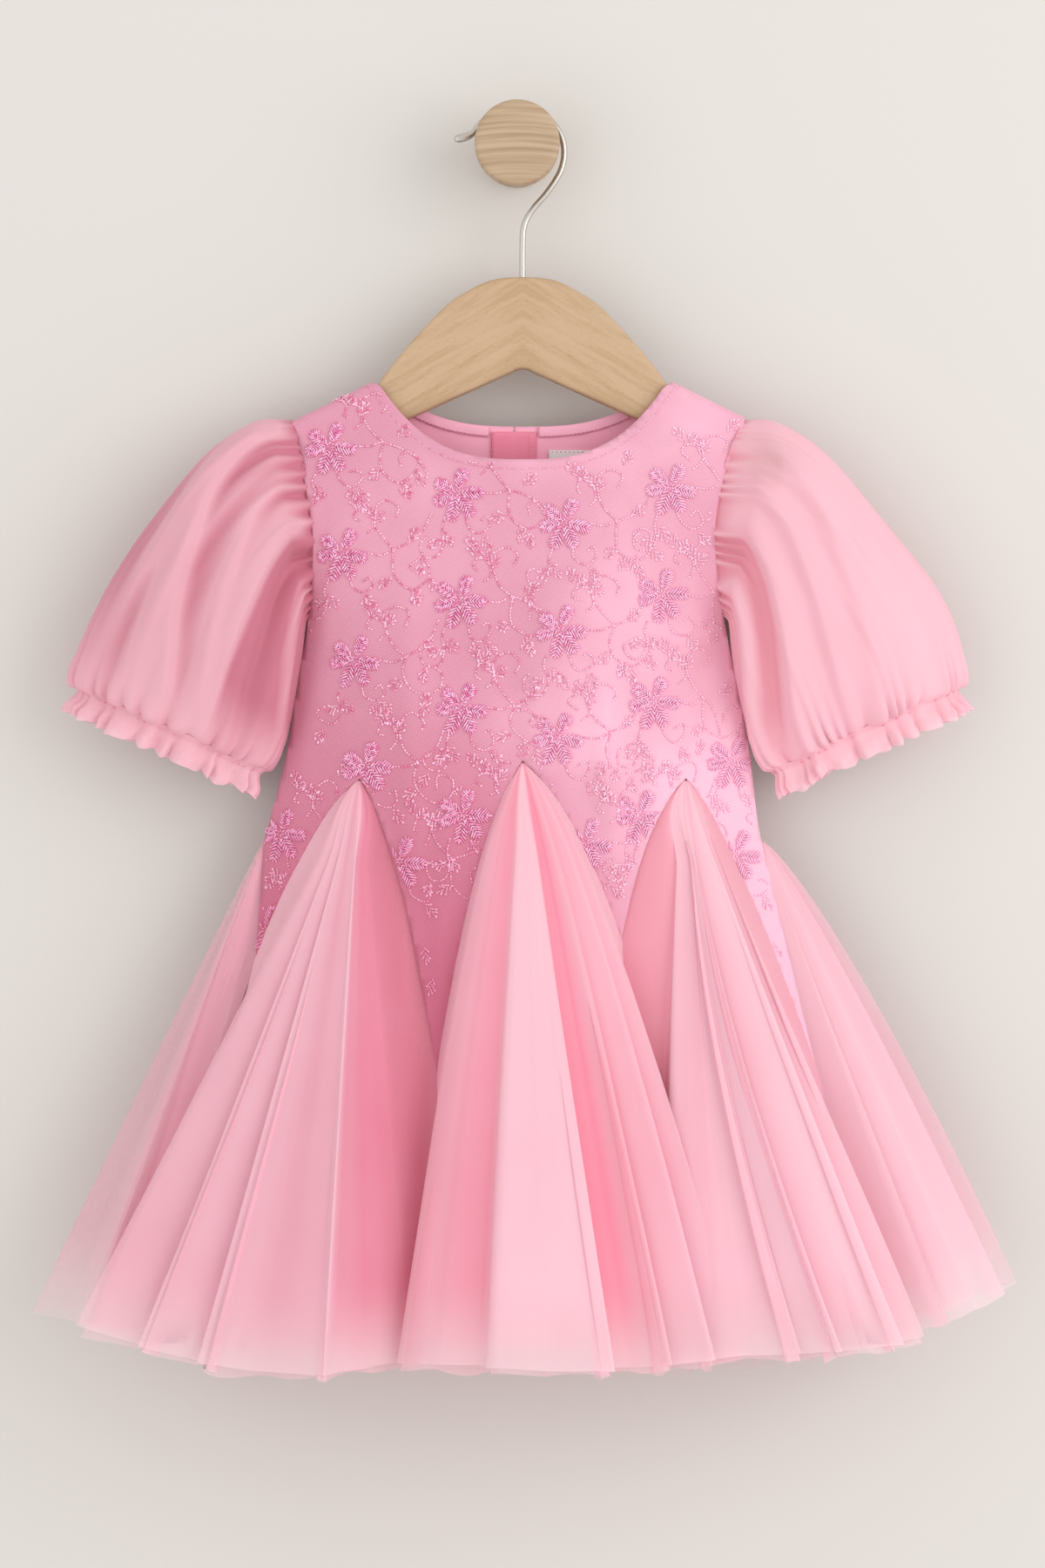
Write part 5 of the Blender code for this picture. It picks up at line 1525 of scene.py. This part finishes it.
# long folds of each sleeve: their angle at the armhole and at the cuff, how high they stand, how
# wide they are on their outer and on their inner side
Crease = namedtuple("Crease", "head cuff high outer inner")
sleeveCreases = {side: [Crease(*row) for row in rows] for side, rows in {
    -1: [(6, 18, 1.6, 10, 12), (27, 84, 6.5, 24, 5), (56, 64, 2.2, 7, 4),
         (70, 101, 2.6, 9, 4), (98, 108, 5.6, 14, 4), (115, 132, -5.5, 7, 8),
         (134, 157, 3.0, 9, 12), (38, 40, 2.4, 12, 4),
         (215, 225, 3.0, 16, 10), (262, 258, -2.5, 12, 12), (310, 318, 2.6, 14, 9)],
    1: [(14, 34, 2.2, 12, 9), (44, 79, 5.0, 22, 6), (71, 96, 4.0, 15, 5),
        (93, 122, 4.6, 16, 5), (110, 143, -3.4, 7, 8), (132, 160, 3.0, 8, 10),
        (60, 58, 1.8, 6, 4), (220, 228, 3.0, 16, 10), (268, 262, -2.5, 12, 12),
        (312, 320, 2.6, 14, 9)],
}.items()}


sleeveSeed = {-1: 4.0, 1: 9.0}


def sleeveWander(side, angle):
    # how far the gathers of a sleeve stray from even spacing
    return ripple(cos(angle) * 3.1, sin(angle) * 3.1, sleeveSeed[side])


def cuffLobe(side, angle):
    # the soft lobes between the gathers of a cuff: 1 on a lobe, 0 where the cloth is drawn in
    wander = sleeveWander(side, angle)
    return abs(cos(0.5 * sleeveLook["cuffGathers"] * angle + 4.5 * wander)) * (1.0 + 0.5 * wander)


def sleeveFold(side, along, angle):
    # how far the cloth of a sleeve stands out: long folds, and gathers at both ends
    look = sleeveLook
    turn = degrees(angle) % 360
    high = 0.0
    for crease in sleeveCreases[side]:
        middle = crease.head + (crease.cuff - crease.head) * smoothStep(along * 1.05)
        middle += 3.0 * ripple(crease.head * 0.37, along * 2.2, side * 5.0)
        away = (turn - middle + 180) % 360 - 180
        wide = crease.outer if away < 0 else crease.inner
        ends = smoothStep(along / 0.1) * (1 - 0.45 * along ** 5)
        high += look["fold"] * crease.high * exp(-(away / wide) ** 2) * ends
    cosA, sinA = cos(angle), sin(angle)
    seed = sleeveSeed[side]
    head = exp(-along / 0.12) * max(1.0 - 0.6 * smoothStep((abs((turn + 90) % 360 - 180) - 40) / 60), 0.2)
    high += look["headHigh"] * head * cos(look["headGathers"] * angle + 7 * sleeveWander(side, angle))
    cuff = exp(-(1 - along) / 0.13) * smoothStep((1 - along) / 0.035 + 0.15)
    high += look["cuffHigh"] * cuff * (cuffLobe(side, angle) - 0.5)
    high += look["billow"] * ripple(cosA * 2.2, sinA * 2.2, along * 1.6 + seed) * sin(pi * along)
    high += look["crumple"] * ripple(cosA * 9, sinA * 9, along * 1.5 + seed) * sin(pi * along)
    return high


def sleevePlace(side, along, angle, row):
    # a point of the sleeve, and how deep and how clear its colour is; the depth is painted shade
    look = sleeveLook
    out = np.array([row["outX"], row["outZ"]])
    inn = np.array([row["inX"], row["inZ"]])
    cosA, sinA = cos(angle), sin(angle)
    facing = 1 if sinA > 0 else -1
    lobe = cuffLobe(side, angle)
    hanging = look["overhang"] * lobe * exp(-((along - 0.955) / 0.03) ** 2)
    x, z = (out + inn) / 2 + (out - inn) / 2 * cosA + cuffDown * hanging
    x = x * -side
    if side > 0:
        x += look["rightShift"]
        x += look["rightBulge"] * max(cosA, 0.0) * exp(-((along - 0.76) / 0.15) ** 2)
    depth = row["front" if sinA > 0 else "back"]
    y = look["midY"] - depth * abs(sinA) ** 0.85 * facing
    armhole = smoothStep(1 - along / 0.1)
    if armhole > 0:
        section = bodyRow(z)
        edge = section[sideName[side]] - side * 1.6
        half = max(section["side"] - 0.3, 2.2)
        armY = section["mid"] - half * facing * min(abs(sinA) * 3, 1)
        x += (edge - x) * armhole
        y += (armY - y) * armhole
    high = sleeveFold(side, along, angle)
    stand = (high - 1.0) * smoothStep(along / 0.03)
    y -= stand * sinA
    x += side * stand * cosA * 0.8
    inward = smoothStep((-cosA + 0.1) / 1.1) * (1 if sinA > -0.2 else 0.4)
    # painted shade: lighter on raised folds, deeper in their valleys, in the armhole's gathers and between
    # the cuff's lobes
    deep = look["deep"] - look["byHeight"] * high + look["atHead"] * exp(-along / 0.05)
    deep += look["atCuff"] * (1 - lobe) * exp(-(1 - along) / 0.07)
    if side < 0:
        # the left sleeve is away from the light: painted shade over all of it, most on its inner half
        deep += look["inner"] * inward + 0.5 + 0.12 * smoothStep((cosA - 0.1) / 0.6)
    else:
        deep -= 0.02
    # the end of the hanger's arm shows faintly through the right sleeve
    clear = 0.2 * exp(-((x - 134) / 13) ** 2 - ((z + 170) / 12) ** 2)
    return np.array([x, y, z]), (min(max(deep, 0.0), 1.0), clear)


def cuffPoint(side, angle, row, down, out):
    # a point that lies out from the cuff's seam and down from it
    flat = cuffDown * down - cuffRun * cos(angle) * out
    return sleevePlace(side, 1.0, angle, row)[0] + np.array([flat[0] * -side, -sin(angle) * out, flat[1]])


def frillRing(side, distance, row):
    # one ring of the frill, at a distance from the cuff's seam, with the looks of its points
    opened = smoothStep((distance - 0.5) / 9)
    lip = smoothStep((1.0 - distance) / 3.0)
    around = frillLook["waves"] * frillLook["perWave"]
    ring = []
    for j in range(around):
        angle = 2 * pi * j / around
        wander = ripple(cos(angle) * 4, sin(angle) * 4, 3.0 + side)
        lobe = abs(cos(0.5 * frillLook["waves"] * angle + 2.6 * wander))
        wave = (0.5 + (2.3 + 1.2 * wander) * opened) * (2 * lobe - 1.2)
        wave += 1.6 * opened * ripple(cos(angle) * 9, sin(angle) * 9, distance * 0.2)
        out = 0.6 + 1.6 * opened + wave + 1.5 * lip
        down = distance + opened * (2.8 * lobe - 1.6 + 1.4 * wander)
        # painted shade: lighter on the lobes, deeper between them and in the gathers at the seam
        deep = frillLook["deep"][side] - 0.68 * lobe - 0.15 * opened + 0.2 * lip
        ring.append((cuffPoint(side, angle, row, down, out), (deep, 0.0)))
    return ring


def cuffThreads(side, row):
    # the stitches that hold a cuff's gathers
    count = sleeveLook["seamStitches"]
    places = [cuffPoint(side, 2 * pi * j / count, row, 0.0, sleeveLook["seamOut"]) for j in range(count)]
    threads = []
    down = np.array([cuffDown[0] * -side, 0.0, cuffDown[1]])
    for place, ahead in zip(places, places[1:] + places[:1]):
        along = (ahead - place) / np.linalg.norm(ahead - place)
        over = np.cross(along, down)
        threads.append((place, (along, np.cross(over, along), over), sleeveLook["seamThread"]))
    return threads


def ringPiece(name, rings, finish):
    # a tube of cloth through rings of points with their looks
    rows, looks = (np.array([[point[k] for point in ring] for ring in rings]) for k in (0, 1))
    return rowsToPiece(name, rows, finish, True, looks), rows


def makeSleeves():
    columns, count = sleeveLook["columns"], sleeveLook["rows"]
    end = sleeveRings[-1]._asdict()
    for side, word in sideName.items():
        rings = []
        for i in range(count + 1):
            along = i / count
            row = tableRow(sleeveRings, "along", along)
            rings.append([sleevePlace(side, along, 2 * pi * j / columns, row) for j in range(columns)])
        piece, rows = ringPiece(word + "Sleeve", rings, finishes["organza"])
        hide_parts("sleeve_" + word)
        rings = [frillRing(side, frillLook["start"] + frillLook["length"] * i / frillLook["rows"], end)
                 for i in range(frillLook["rows"] + 1)]
        frill, rows = ringPiece(word + "Frill", rings, finishes["frill"])
        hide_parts("cuff_frill_" + word)
        beads(word + "CuffThreads", cuffThreads(side, end), finishes["stitch"])


makeSleeves()
print("sleeves made")
